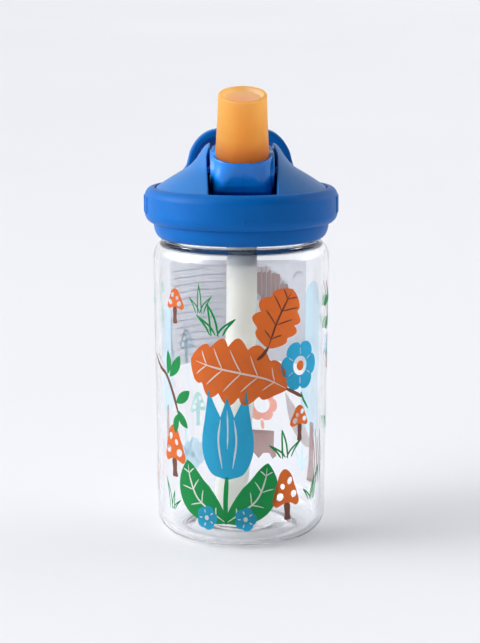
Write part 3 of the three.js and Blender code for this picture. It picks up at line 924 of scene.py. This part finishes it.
def soft_valve():
    dish = VALVE_TOP - 2.2
    lip = [(8.35, VALVE_TOP, 0.6), (7.7, dish + 0.5, 1.2), (4, dish)]
    profile = [
        (4.9, 0.6),
        *rounded([(10.2, 0.6), (10.94, 0.6, 0.3), (10.94, 1.5)], 3),
        (10.92, 7),
        (10.55, 14),
        (10.0, 24),
        *rounded([(9.85, 29.5), (9.75, VALVE_TOP, 0.75), *lip], 6),
        (0, dish - 0.1),
        (0, dish - 1.6),
        (3.2, dish - 1.6),
        *rounded([(5.0, dish - 1.7), (6.0, dish - 1.8, 0.5), (3.4, dish - 5.2, 1.2), (2.9, dish - 9)], 4),
        (2.8, 14),
        *rounded([(2.8, 11.4), (2.8, 11, 0.3), (4.9, 10.3, 0.3), (4.9, 9)], 3),
        (4.9, 0.6),
    ]
    valve = revolve("bite_valve_soft", profile, ORANGE_SILICONE, 128)
    return finished(tilted(valve), "spout", "orange_silicone", "bite_valve")


# ---- seals and straw ----
def seals():
    r = (seal_high.x - seal_low.x) / 2
    low, high = seal_low.z, seal_high.z
    profile = rounded(
        [(PORT_BORE, low), (r, low), (r, high, 0.3), (PORT_BORE, high, 0.3), (PORT_BORE, low)], 3
    )
    port = revolve("port_seal_ring", profile, WHITE_SILICONE, 64, (0, PORT_Y))
    finished(port, "lid", "seal_silicone", "port_seal")
    r, low, high = gasket_high.x, gasket_low.z, gasket_high.z
    corner = 0.35
    edges = ((GASKET_BORE, low), (r, low), (r, high), (GASKET_BORE, high))
    profile = rounded([(*edge, corner) for edge in edges], 3, closed=True)
    ring = revolve("neck_gasket_ring", [*profile, profile[0]], WHITE_SILICONE, 160)
    finished(ring, "seal", "seal_silicone", "neck_gasket")
    low, high = vent_low.z, vent_high.z
    flap, stem, top = (vent_high.x - vent_low.x) / 2, 1.2, low + 0.7
    profile = [
        (0, low),
        *rounded([(flap - 0.5, low + 0.4), (flap, low + 0.5, 0.1), (flap, top, 0.1), (stem, top, 0.1)], 3),
        (stem, high - 2.1),
        *rounded([(stem, high - 2.0), (2.1, high - 1.8, 0.3), (1.5, high - 0.4, 0.5), (0.6, high)], 4),
        (0, high),
    ]
    vent = revolve("vent_flap", profile, WHITE_SILICONE, 48, (0, VENT_Y))
    finished(vent, "lid", "seal_silicone", "vent_valve")


def milky_straw():
    """A tube that bends forward and flattens a little on its way down to its slanted end."""
    length = STRAW_TOP - straw_low.z
    straight = length * 2 / 9
    wall, radius, squash, slant_height = 1.2, 6.2, 0.9, 6
    segments, steps = 64, 40
    outer, inner = [], []
    for i in range(steps + 1):
        down = length * i / steps
        t = max(0.0, (down - straight) / (length - straight))
        t = t * t * (1.6 - 0.6 * t)
        rx, ry = radius + squash * t, radius - squash * t
        cx, cy = -5.2 * t, PORT_Y - 2.2 * t
        wide = radius + squash
        for ring, w in ((outer, 0), (inner, wall)):
            row = []
            for j in range(segments):
                a = TAU * j / segments
                x = (rx - w) * math.cos(a)
                slant = slant_height * (x + wide) / (2 * wide) if i == steps else 0
                row.append((cx + x, cy + (ry - w) * math.sin(a), STRAW_TOP - down + slant))
            ring.append(row)
    rings = [r[::-1] for r in outer] + [r[::-1] for r in reversed(inner)]
    straw = loft("milky_straw", rings, STRAW_MILKY, closed_path=True)
    finished(even_normals(straw), "lid", "straw_plastic", "drinking_straw")


# ---- the print: flat motifs, in millimetres, u round the body and v up it ----
# Each ink's colour on the outside, and the paler one that shows through the wall: the ink lightened with
# painted light from behind.
INKS = {
    "orange": (srgb(232, 112, 38), srgb(240, 176, 140)),
    "blue": (srgb(36, 170, 214), srgb(190, 228, 242)),
    "pale_blue": (srgb(96, 190, 226), srgb(208, 238, 250)),
    "teal": (srgb(60, 176, 156), srgb(186, 232, 226)),
    "green": (srgb(0, 148, 72), srgb(150, 214, 178)),
    "brown": (srgb(124, 78, 62), srgb(172, 134, 126)),
    "log": (srgb(140, 120, 118), srgb(196, 184, 184)),
    "salmon": (srgb(228, 116, 88), srgb(252, 164, 142)),
    "white": (srgb(242, 240, 236), srgb(240, 240, 240)),
    "panel": (srgb(228, 229, 233), srgb(212, 214, 220)),
    "rule": (srgb(160, 166, 190), srgb(188, 190, 200)),
}


def turner(u, v, degrees):
    """Gives a function that turns a point and moves it to (u, v)."""
    c, s = math.cos(math.radians(degrees)), math.sin(math.radians(degrees))
    return lambda x, y: (u + x * c - y * s, v + x * s + y * c)


def ellipse(u, v, ru, rv, turn=0.0):
    at = turner(u, v, turn)
    return [at(x, y) for x, y in arc(0, 0, ru, rv, 0, 360, max(12, round((ru + rv) * 3)))[:-1]]


def placed(shape, u, foot, width, height):
    """A shape drawn from -1 to 1 across and from 0 to 1 up, put on its foot at full size."""
    return [(u + x * width / 2, foot + y * height) for x, y in shape]


def sided(points, step):
    """A smooth line through points, and the unit arrows that point to its left."""
    line = np.array(through(points, step))
    ahead = np.gradient(line, axis=0)
    ahead /= np.linalg.norm(ahead, axis=1)[:, None]
    return line, np.stack([-ahead[:, 1], ahead[:, 0]], 1)


def stroke(points, width, ends=0.15):
    """A line of ink along points, thinning towards its ends to a share of its width."""
    line, left = sided(points, 0.8)
    t = np.linspace(0, 1, len(line))
    half = width / 2 * (ends + (1 - ends) * np.minimum(1, 4 * np.minimum(t + 0.02, 1 - t + 0.02)))
    left *= half[:, None]
    return [tuple(p) for p in (*(line - left), *(line + left)[::-1])]


def leaf_outline(spine, width, lobes=0, depth=0.0, fullness=0.75, skew=1.0):
    """A leaf's outline along a spine from its base to its tip."""
    line, left = sided(spine, 0.7)
    t = np.linspace(0, 1, len(line)) ** skew
    half = width / 2 * np.sin(math.pi * t) ** fullness
    if lobes:
        half *= 1 - depth * (1 - np.abs(np.sin(math.pi * lobes * t)) ** 0.8)
    left *= half[:, None]
    return [tuple(p) for p in (*(line - left), *(line + left)[-2:0:-1])]


def veins(spine, width, count):
    """A midrib and side veins, as strokes."""
    line = np.array(through(spine, 0.5))
    n = len(line)
    reach = 0.62  # of the leaf's half width
    out = [stroke([line[round(n * f)] for f in (0.02, 0.25, 0.5, 0.75, 0.93)], 0.8)]
    for i in range(count):
        share = i / max(1, count - 1)
        k = round(n * (0.16 + 0.66 * share))
        here = line[min(k, n - 3)]
        ahead = line[min(k + 2, n - 1)] - here
        ahead /= np.linalg.norm(ahead)
        for side in (-1, 1):
            aside = np.array([-ahead[1], ahead[0]]) * side
            span = width / 2 * reach * math.sin(math.pi * (0.2 + 0.6 * share))
            tip = here + aside * span + ahead * span * 0.7
            out.append(stroke([here, here + (tip - here) * 0.5 + ahead * 0.2, tip], 0.55))
    return out


class Print:
    """Collects films of ink: each is one outline with its holes, at a level over the body."""

    def __init__(self):
        self.films = []

    def film(self, ink, outline, holes=(), level=0):
        self.films.append((ink, outline, list(holes), level))

    def line(self, ink, points, width, ends=0.15, level=1):
        self.film(ink, stroke(points, width, ends), level=level)

    def leaf(self, ink, spine, width, count=4, vein="white", **shape):
        self.film(ink, leaf_outline(spine, width, **shape))
        for line in veins(spine, width, count):
            self.film(vein, line, level=1)

    def toadstool(self, u, foot, height, cap="orange", stem="brown", lean=0.0, flip=1, wide=1.0, stalk=0.4):
        """A spotted toadstool; stalk is the share of its height under the cap."""
        h = height / 20
        start = 20 * stalk

        def at(x, y):
            y = start + (y - 8) * (20 - start) / 12 if y > 8 else y * start / 8
            return (u + flip * (x * wide + lean * y) * h, foot + y * h)

        dome = (
            (-5.6, 9.4), (-5.0, 11.6), (-3.7, 15.0), (-2.2, 18.4), (0.2, 20), (2.4, 18.8),
            (4.0, 15.4), (5.4, 12.2), (6.0, 9.8), (4.6, 8.2), (1.8, 9.0), (-1.5, 9.2), (-4.2, 8.2),
        )
        outline = through([at(*p) for p in dome], 0.7, closed=True)
        spots = (
            (-1.6, 16.2, 1.0, 1.5), (1.6, 14.6, 0.9, 1.2), (-3.2, 11.9, 1.35, 1.4), (2.9, 11.4, 1.5, 1.5)
        )
        holes = [ellipse(*at(x, y), a * h * wide, b * h, 12 * x) for x, y, a, b in spots]
        self.film(cap, outline[::flip], holes)
        trunk = ((-1.2, 9), (1.3, 9), (1.2, 4), (1.6, 0.6), (0, 0), (-1.4, 0.3), (-1.1, 4))
        self.film(stem, through([at(*p) for p in trunk], 0.7, closed=True)[::-flip], level=1)

    def tuft(self, u, foot, blades, ink="green", line=0.75):
        """Outlined blades of grass, each (tip u, tip v, half width) from the tuft's foot."""
        for x, y, w in blades:
            for side in (-1, 1):
                root = (u + x * 0.18 + side * w, foot + 0.09 * abs(x))
                bend = (u + x * 0.45 + side * w * 0.8, foot + y * 0.52)
                self.line(ink, [root, bend, (u + x, foot + y)], line, 0.45, side + 1)

    def blossom(self, u, v, radius, petals, ink, heart, hole=0.0, squeeze=1.0, level=0):
        angles = np.linspace(0, TAU, 96, endpoint=False)
        r = radius * (0.80 + 0.20 * np.abs(np.cos(petals * angles / 2)) ** 0.6)

        def at(distance, angle):
            return (u + distance * math.cos(angle) * squeeze, v + distance * math.sin(angle))

        holes = [ellipse(u, v, hole * squeeze, hole)] if hole else []
        self.film(ink, [at(a, t) for a, t in zip(r, angles)], holes, level)
        inner, outer = max(hole + 0.6, radius * 0.42), radius * 0.72
        for k in range(petals):
            t = TAU * (k + 0.5) / petals
            self.line("white", [at(s, t) for s in (inner, (inner + outer) / 2, outer)], 0.5, level=level + 1)
        if heart:
            self.film(heart, ellipse(u, v, radius * 0.2 * squeeze, radius * 0.2), level=level + 1)

    def tulip(self, u, foot, width, height, ink):
        side = [(0.1, 0.0), (0.62, 0.06), (0.93, 0.24), (0.99, 0.44), (0.86, 0.70), (0.72, 1.0)]
        notch = [(0.46, 0.82), (0.26, 0.70), (0.0, 0.93)]
        right = through(placed(side, u, foot, width, height), 0.9) + placed(notch, u, foot, width, height)
        self.film(ink, right + [(2 * u - x, y) for x, y in reversed(right[:-1])])
        for flip in (-1, 1):
            fold = [(0.26 * flip, 0.67), (0.34 * flip, 0.42), (0.2 * flip, 0.12)]
            self.line("white", placed(fold, u, foot, width, height), 0.8)
        self.line("white", placed([(0, 0.78), (0.02, 0.55), (0, 0.34)], u, foot, width, height), 0.6)

    def twig(self, points, width, leaves):
        """A twig, with each leaf given by its base, its tip and its width."""
        self.line("brown", points, width, 0.35, 0)
        for base, tip, wide in leaves:
            middle = ((base[0] + tip[0]) / 2 + (tip[1] - base[1]) * 0.08, (base[1] + tip[1]) / 2)
            self.film("green", leaf_outline([base, middle, tip], wide), level=1)

    def cone(self, u, v, length, width, turn):
        """A fir cone with rows of scale marks."""
        at = turner(u, v, turn)
        a, b = length / 2, width / 2
        outline = []
        for k in range(72):
            t = TAU * k / 72
            edge = 1 + 0.06 * math.cos(12 * t)
            outline.append(at(a * math.cos(t) * edge, b * math.sin(t) * edge * (1 - 0.22 * math.cos(t))))
        self.film("brown", outline)
        for i in range(6):
            x = a * (-0.72 + 0.27 * i)
            rows = 3 if i in (0, 5) else 4
            for j in range(rows):
                y = b * 0.62 * (2 * (j + 0.5) / rows - 1) + (0.5 if i % 2 else -0.5)
                self.line("white", [at(x, y), at(x + 0.9, y + 0.5), at(x + 1.9, y + 0.7)], 0.6)

    def stump(self, u, foot, width, height):
        shape = [
            (-0.82, 1.0), (0.82, 1.0), (0.80, 0.5), (1.02, 0.12), (0.70, 0.05), (0.52, 0.2),
            (0.2, 0.0), (-0.1, 0.2), (-0.5, 0.22), (-0.72, 0.02), (-1.0, 0.14), (-0.80, 0.5),
        ]
        self.film("brown", placed(shape, u, foot, width, height)[::-1])
        for x in (-0.5, -0.12, 0.2, 0.5):
            top, middle, low = placed([(x, 0.86), (x, 0.62), (x, 0.42)], u, foot, width, height)
            self.line("white", [top, (middle[0] + 0.2, middle[1]), low], 0.6)

    def tree(self, u, foot, height, width):
        crown = [
            (0.0, 1.0), (0.5, 0.97), (0.86, 0.88), (0.72, 0.78), (1.0, 0.66), (0.84, 0.54), (1.02, 0.42),
            (0.8, 0.30), (0.4, 0.25), (0.0, 0.27), (-0.4, 0.24), (-0.86, 0.31), (-0.98, 0.43), (-0.76, 0.52),
            (-1.0, 0.64), (-0.78, 0.76), (-0.88, 0.88), (-0.5, 0.97),
        ]
        trunk = [(-0.2, 0.3), (0.2, 0.3), (0.24, 0.1), (0.42, 0.0), (-0.4, 0.0), (-0.22, 0.1)]
        self.film("brown", placed(trunk, u, foot, width, height)[::-1])
        outline = through(placed(crown, u, foot, width, height), 1.0, closed=True)[::-1]
        self.film("pale_blue", outline, level=1)
        marks = placed([(0.2, 0.8), (-0.35, 0.66), (0.3, 0.5), (-0.2, 0.4)], u, foot, width, height)
        for x, y in marks:
            self.line("white", [(x, y), (x + 0.8, y + 2.2), (x + 2.2, y + 3)], 0.6, level=2)


def behind(degrees):
    """The place u of a point this many degrees from the middle of the back, towards +X."""
    return math.radians(-180 - degrees) * PRINT_R


def front_print(p):
    spine = [(19, 66.5), (12, 70.5), (2, 73.5), (-9, 75.5), (-22.5, 79)]
    p.leaf("orange", spine, 28, 5, lobes=5, depth=0.3, skew=1.25, fullness=0.55)
    p.line("brown", [(26.5, 62.5), (23, 64.5), (18.5, 66.8)], 1.5, 0.5)
    spine = [(10, 84), (12.5, 91), (15.5, 98), (21, 107.5)]
    p.leaf("orange", spine, 22, vein="brown", lobes=4, depth=0.26, fullness=0.6)
    p.line("brown", [(5.5, 79.5), (8, 81.5), (10.2, 84.6)], 1.4, 0.5)
    p.blossom(25.4, 75.6, 10.6, 6, "blue", "orange", hole=4.0, squeeze=0.92)
    p.line("green", [(26, 64.5), (27.6, 61), (30.5, 57)], 1.0, 0.4, 0)
    p.tulip(-6.6, 30, 22, 37, "blue")
    base = (-7.2, 11.5)
    for tip, bend in (((-25, 36.5), -5), ((10.5, 36.5), 5)):
        middle = ((base[0] + tip[0]) / 2 + bend, (base[1] + tip[1]) / 2 - 1.5)
        p.leaf("green", [base, middle, tip], 15.5)
    p.line("green", [(-7.2, 11), (-7.4, 20), (-6.8, 31)], 2.0, 0.6, 2)
    for u in (-15.6, 1.0):
        p.blossom(u, 13.2, 5.2, 5, "blue", "white", squeeze=0.9, level=2)
    p.toadstool(-31, 92.4, 14.6, wide=1.2)
    p.toadstool(-32.4, 28.0, 22.0, lean=-0.05, wide=1.05, stalk=0.27)
    p.toadstool(19.8, 11.6, 21.6, lean=0.06, flip=-1, wide=1.05, stalk=0.25)
    p.toadstool(25.6, 44.2, 15.0, flip=-1, wide=1.15)
    p.tuft(-18.2, 97.6, ((-4.8, 6.5, 0.9), (-0.3, 12.6, 0.9), (5.4, 7.6, 0.9)), line=0.5)
    p.tuft(-11.0, 88.6, ((-8.6, 8.6, 1.2), (-3.8, 13.6, 1.5), (7.8, 7.6, 1.2)), line=0.85)
    p.tuft(-34.4, 13.6, ((-4.6, 13.4, 0.9), (1.6, 8.4, 0.8), (5.6, 5.0, 0.7)), line=0.55)
    p.tuft(18.6, 37.4, ((-7.6, 6.4, 1.1), (-2.0, 12.4, 1.2), (7.8, 7.4, 1.1)), line=0.8)
    p.tuft(33.4, 17.6, ((-5.2, 5.6, 0.8), (2.4, 9.4, 0.9), (6.4, 14.4, 0.9)), line=0.65)
    leaves = [
        ((-36.6, 70.5), (-36.4, 80.6), 3.6), ((-35.2, 69.8), (-28.4, 79.4), 4.6),
        ((-31, 59.5), (-23.4, 65.4), 4.4), ((-29.8, 56.4), (-24.6, 49.6), 3.6),
        ((-29.8, 55), (-31.6, 46.6), 3.6),
    ]
    p.twig([(-50, 77), (-43, 72.5), (-37.6, 70), (-33, 63), (-29.4, 54)], 1.6, leaves)
    for x, top in ((35.5, 44), (37.4, 47), (39.2, 43), (41.2, 46)):
        p.line("brown", [(x, 24), (x + 0.5, 34), (x - 0.8, top)], 0.6, 0.4, 0)
    p.toadstool(52, 70, 15, cap="pale_blue")
    leaves = [
        ((50, 101), (43, 98), 4), ((50.6, 99), (58, 103), 4), ((52, 92), (45, 88), 4), ((55, 88), (62, 91), 4)
    ]
    p.twig([(46, 108), (50, 101), (52, 93), (57, 86)], 1.5, leaves)
    p.tuft(52, 44, ((-6, 7, 1.0), (0, 12, 1.0), (6, 8, 1.0)), line=0.7)


def back_print(p):
    """Motifs given in degrees from the middle of the back, and a plain ruled panel."""
    def at(*points):
        return [(behind(degrees), v) for degrees, v in points]

    low, high, steps = 66, 111, 60
    left, right = behind(56), behind(-62)
    across = [left + (right - left) * k / steps for k in range(steps + 1)]
    p.film("panel", [(u, low) for u in across] + [(u, high) for u in reversed(across)])
    start, rule_length = right - 3, 30
    for k in range(13):
        v = 107 - 3.1 * k
        line = [(start - rule_length * i / 6, v + 0.15 * math.sin(i * 1.7 + k)) for i in range(7)]
        p.line("rule", line, 0.42, 0.6)
    p.toadstool(behind(-43), 66.4, 15, cap="pale_blue", stem="teal")
    p.toadstool(behind(-32.5), 37.6, 15, cap="teal", stem="teal")
    p.blossom(behind(-38), 25, 7.5, 7, "pale_blue", "white")
    p.tuft(behind(-44), 24, ((-4, 9, 0.8), (0.5, 14, 0.8), (4.6, 9, 0.8)), ink="pale_blue")
    p.cone(behind(24), 97.5, 24, 15, 205)
    p.line("brown", at((42, 103.5), (46, 106), (50, 106.5)), 1.2, 0.5)
    p.blossom(behind(17), 46, 7.6, 6, "salmon", None, hole=3.8)
    p.line("salmon", at((17, 39), (18, 35)), 1.6, 0.6, 0)
    p.stump(behind(17), 21.5, 15, 13)
    log = at((36, 52), (40, 50), (60, 38), (66, 32), (56, 31), (42, 38))
    p.film("log", through(log, 1.2, closed=True))
    p.line("white", at((41, 44), (50, 39.5), (58, 35)), 0.7)
    p.line("white", at((43, 41), (50, 37.4), (56, 34)), 0.7)
    p.tree(behind(68), 16, 88, 21)
    p.tree(behind(-70), 32, 62, 15)
    p.tuft(behind(54), 19, ((-5, 8, 0.9), (0, 12, 0.9), (5, 9, 0.9)), ink="pale_blue")
    ends = (((-83, 105), (-74, 100)), ((-84, 102), (-92, 97)), ((-82, 96), (-80, 86)))
    leaves = [(*at(base, tip), 4.4) for base, tip in ends]
    p.twig(at((-80, 112), (-84, 104), (-82, 96)), 1.4, leaves)
    p.toadstool(behind(-88), 16, 16)


def inside(points, loop):
    """Which points are inside a loop, by the even-odd rule."""
    x, y = points[:, 0], points[:, 1]
    hit = np.zeros(len(points), bool)
    a = np.array(loop)
    for (x0, y0), (x1, y1) in zip(a, np.roll(a, -1, 0)):
        if y0 != y1:
            hit ^= ((y0 > y) != (y1 > y)) & (x < (x1 - x0) * (y - y0) / (y1 - y0) + x0)
    return hit


def filled(outline, holes):
    """Triangles over an outline with holes, fine enough to follow the body's curve."""
    def on_ink(places):
        keep = inside(places, outline)
        for hole in holes:
            keep &= ~inside(places, hole)
        return keep

    low, high = np.array(outline).min(0), np.array(outline).max(0)
    across, up = np.arange(low[0] + 1, high[0], 2.2), np.arange(low[1] + 2, high[1], 4.4)
    grid = np.array([(u, v) for u in across for v in up]).reshape(-1, 2)
    points, edges = [], []
    for loop in (outline, *holes):
        first = len(points)
        points += [Vector(q) for q in loop]
        edges += [(first + i, first + (i + 1) % len(loop)) for i in range(len(loop))]
    points += [Vector(q) for q in grid[on_ink(grid)]]
    out_points, _, faces, *_ = delaunay_2d_cdt(points, edges, [], 0, 1e-5)
    flat = np.array([tuple(q) for q in out_points])
    faces = np.array([f for f in faces if len(f) == 3])
    faces = faces[on_ink(flat[faces].mean(1))]
    a, b, c = (flat[faces[:, k]] for k in range(3))
    turn = (b[:, 0] - a[:, 0]) * (c[:, 1] - a[:, 1]) - (b[:, 1] - a[:, 1]) * (c[:, 0] - a[:, 0])
    faces[turn < 0] = faces[turn < 0][:, ::-1]
    return flat, faces[np.abs(turn) > 1e-6]


def body_radius(z):
    """The body's outer radius at a height."""
    if z < BASE_CORNER:
        return BODY_FOOT_R - BASE_CORNER + math.sqrt(max(0.0, BASE_CORNER**2 - (BASE_CORNER - z) ** 2))
    return BODY_FOOT_R + (BODY_R - BODY_FOOT_R) * (z - BASE_CORNER) / (SHOULDER_LOW - BASE_CORNER)


def lay_print():
    """One thin piece for each ink, outside colour on its outer face and a paler one behind."""
    p = Print()
    front_print(p)
    back_print(p)
    for ink, (outer, inner) in INKS.items():
        points, faces = [], []
        for index, (name, outline, holes, level) in enumerate(p.films):
            if name != ink:
                continue
            flat, triangles = filled(outline, holes)
            lift = 0.04 + 0.05 * level + 0.0004 * (index % 40)  # no two films lie at the same height
            first = len(points)
            for u, v in flat:
                r = body_radius(v) + lift
                a = u / PRINT_R
                points.append((r * math.sin(a), -r * math.cos(a), v))
            faces += [tuple(int(k) + first for k in t) for t in triangles]
        piece = make("print_" + ink, points, faces, printed("ink_" + ink, outer, inner))
        finished(piece, "bottle", "clear_body")


# ---- camera, lights and floor ----
def place_camera(scene):
    distance, height = 0.760, 0.224
    azimuth, pitch, pan = math.radians(-1.4), math.radians(10.08), math.radians(0.037)
    data = bpy.data.cameras.new("camera")
    data.sensor_width = 36
    data.lens = 103.13
    camera = bpy.data.objects.new("camera", data)
    camera.location = (distance * math.sin(azimuth), -distance * math.cos(azimuth), height)
    camera.rotation_euler = (math.pi / 2 - pitch, 0, azimuth + pan)
    scene.collection.objects.link(camera)
    scene.camera = camera


def light_room(scene):
    """A room that is dark behind the camera and bright at the back, with a window on the left."""
    world = bpy.data.worlds.new("studio")
    nodes = Nodes(world)
    place = nodes.add("TexCoord", output="Generated")

    def glow(direction, strength, sharpness):
        """A soft bright patch of wall in one direction."""
        towards = nodes.vector("DOT_PRODUCT", place, Vector(direction).normalized())
        patch = nodes.math("POWER", nodes.math("MAXIMUM", towards, 0.0), sharpness)
        return nodes.math("MULTIPLY", patch, strength)

    back = nodes.vector("DOT_PRODUCT", place, (-0.04, 0.58, -0.02))
    room = nodes.math("ADD", back, 0.4, use_clamp=True)
    room = nodes.math("ADD", room, glow((-1, -0.15, 0.24), 9.0, 8))
    room = nodes.math("ADD", room, glow((1, 0.2, 0.2), 2.2, 8))
    background = nodes.tree.nodes["Background"]
    nodes.fill(background, {"Color": (0.97, 0.975, 1.0, 1), "Strength": room})
    scene.world = world


def hang_lamp(scene, name, kind, energy, aim, place=(0, 0, 0), **settings):
    lamp = bpy.data.lights.new(name, kind)
    lamp.energy = energy
    for key, value in settings.items():
        setattr(lamp, key, value)
    obj = bpy.data.objects.new(name, lamp)
    obj.location = place
    obj.rotation_euler = Vector(aim).to_track_quat("-Z", "Y").to_euler()
    scene.collection.objects.link(obj)


def lay_floor():
    """A pale sweep that rises slowly far away, with painted shade well in front of the bottle."""
    paint = bpy.data.materials.new("floor_paint")
    nodes = Nodes(paint)
    pale = nodes.mottled(nodes.noise(1.5, 2, 0.5), srgb(229, 230, 233), srgb(232, 232, 235))
    across = nodes.add("TexCoord", output="Object")
    # Painted shade: the floor is darkened well in front of the bottle.
    front_shade_mask = nodes.ramp(nodes.add("SeparateXYZ", {"Vector": across}, output="Y"), -1.6, -0.6)
    shaded = nodes.mix(front_shade_mask, srgb(186, 187, 190), pale)
    nodes.principled({"Base Color": shaded, "Roughness": 0.95, "Specular IOR Level": 0.1})
    sweep = [(0, 0), (900, 0), (1400, 12), (2000, 50), (3000, 130), (6000, 400), (25000, 2200)]
    floor = revolve("floor", sweep[::-1], paint, 96)
    for face in floor.data.polygons:
        face.flip()


def set_stage():
    scene = bpy.context.scene
    scene.view_settings.view_transform = "Standard"
    light_room(scene)
    place_camera(scene)
    softbox = Vector((-1.6, -0.2, 0.5))
    middle = Vector((0, 0, 0.1))
    size = {"shape": "RECTANGLE", "size": 0.6, "size_y": 0.7}
    hang_lamp(scene, "left", "AREA", 4.4, middle - softbox, softbox, **size)
    hang_lamp(scene, "overhead", "SUN", 0.4, (0.45, 0.12, -1), angle=math.radians(50))
    lay_floor()


set_stage()
clear_body()
threaded_cap()
band_and_loop()
domed_cover()
flip_spout()
soft_valve()
seals()
milky_straw()
lay_print()
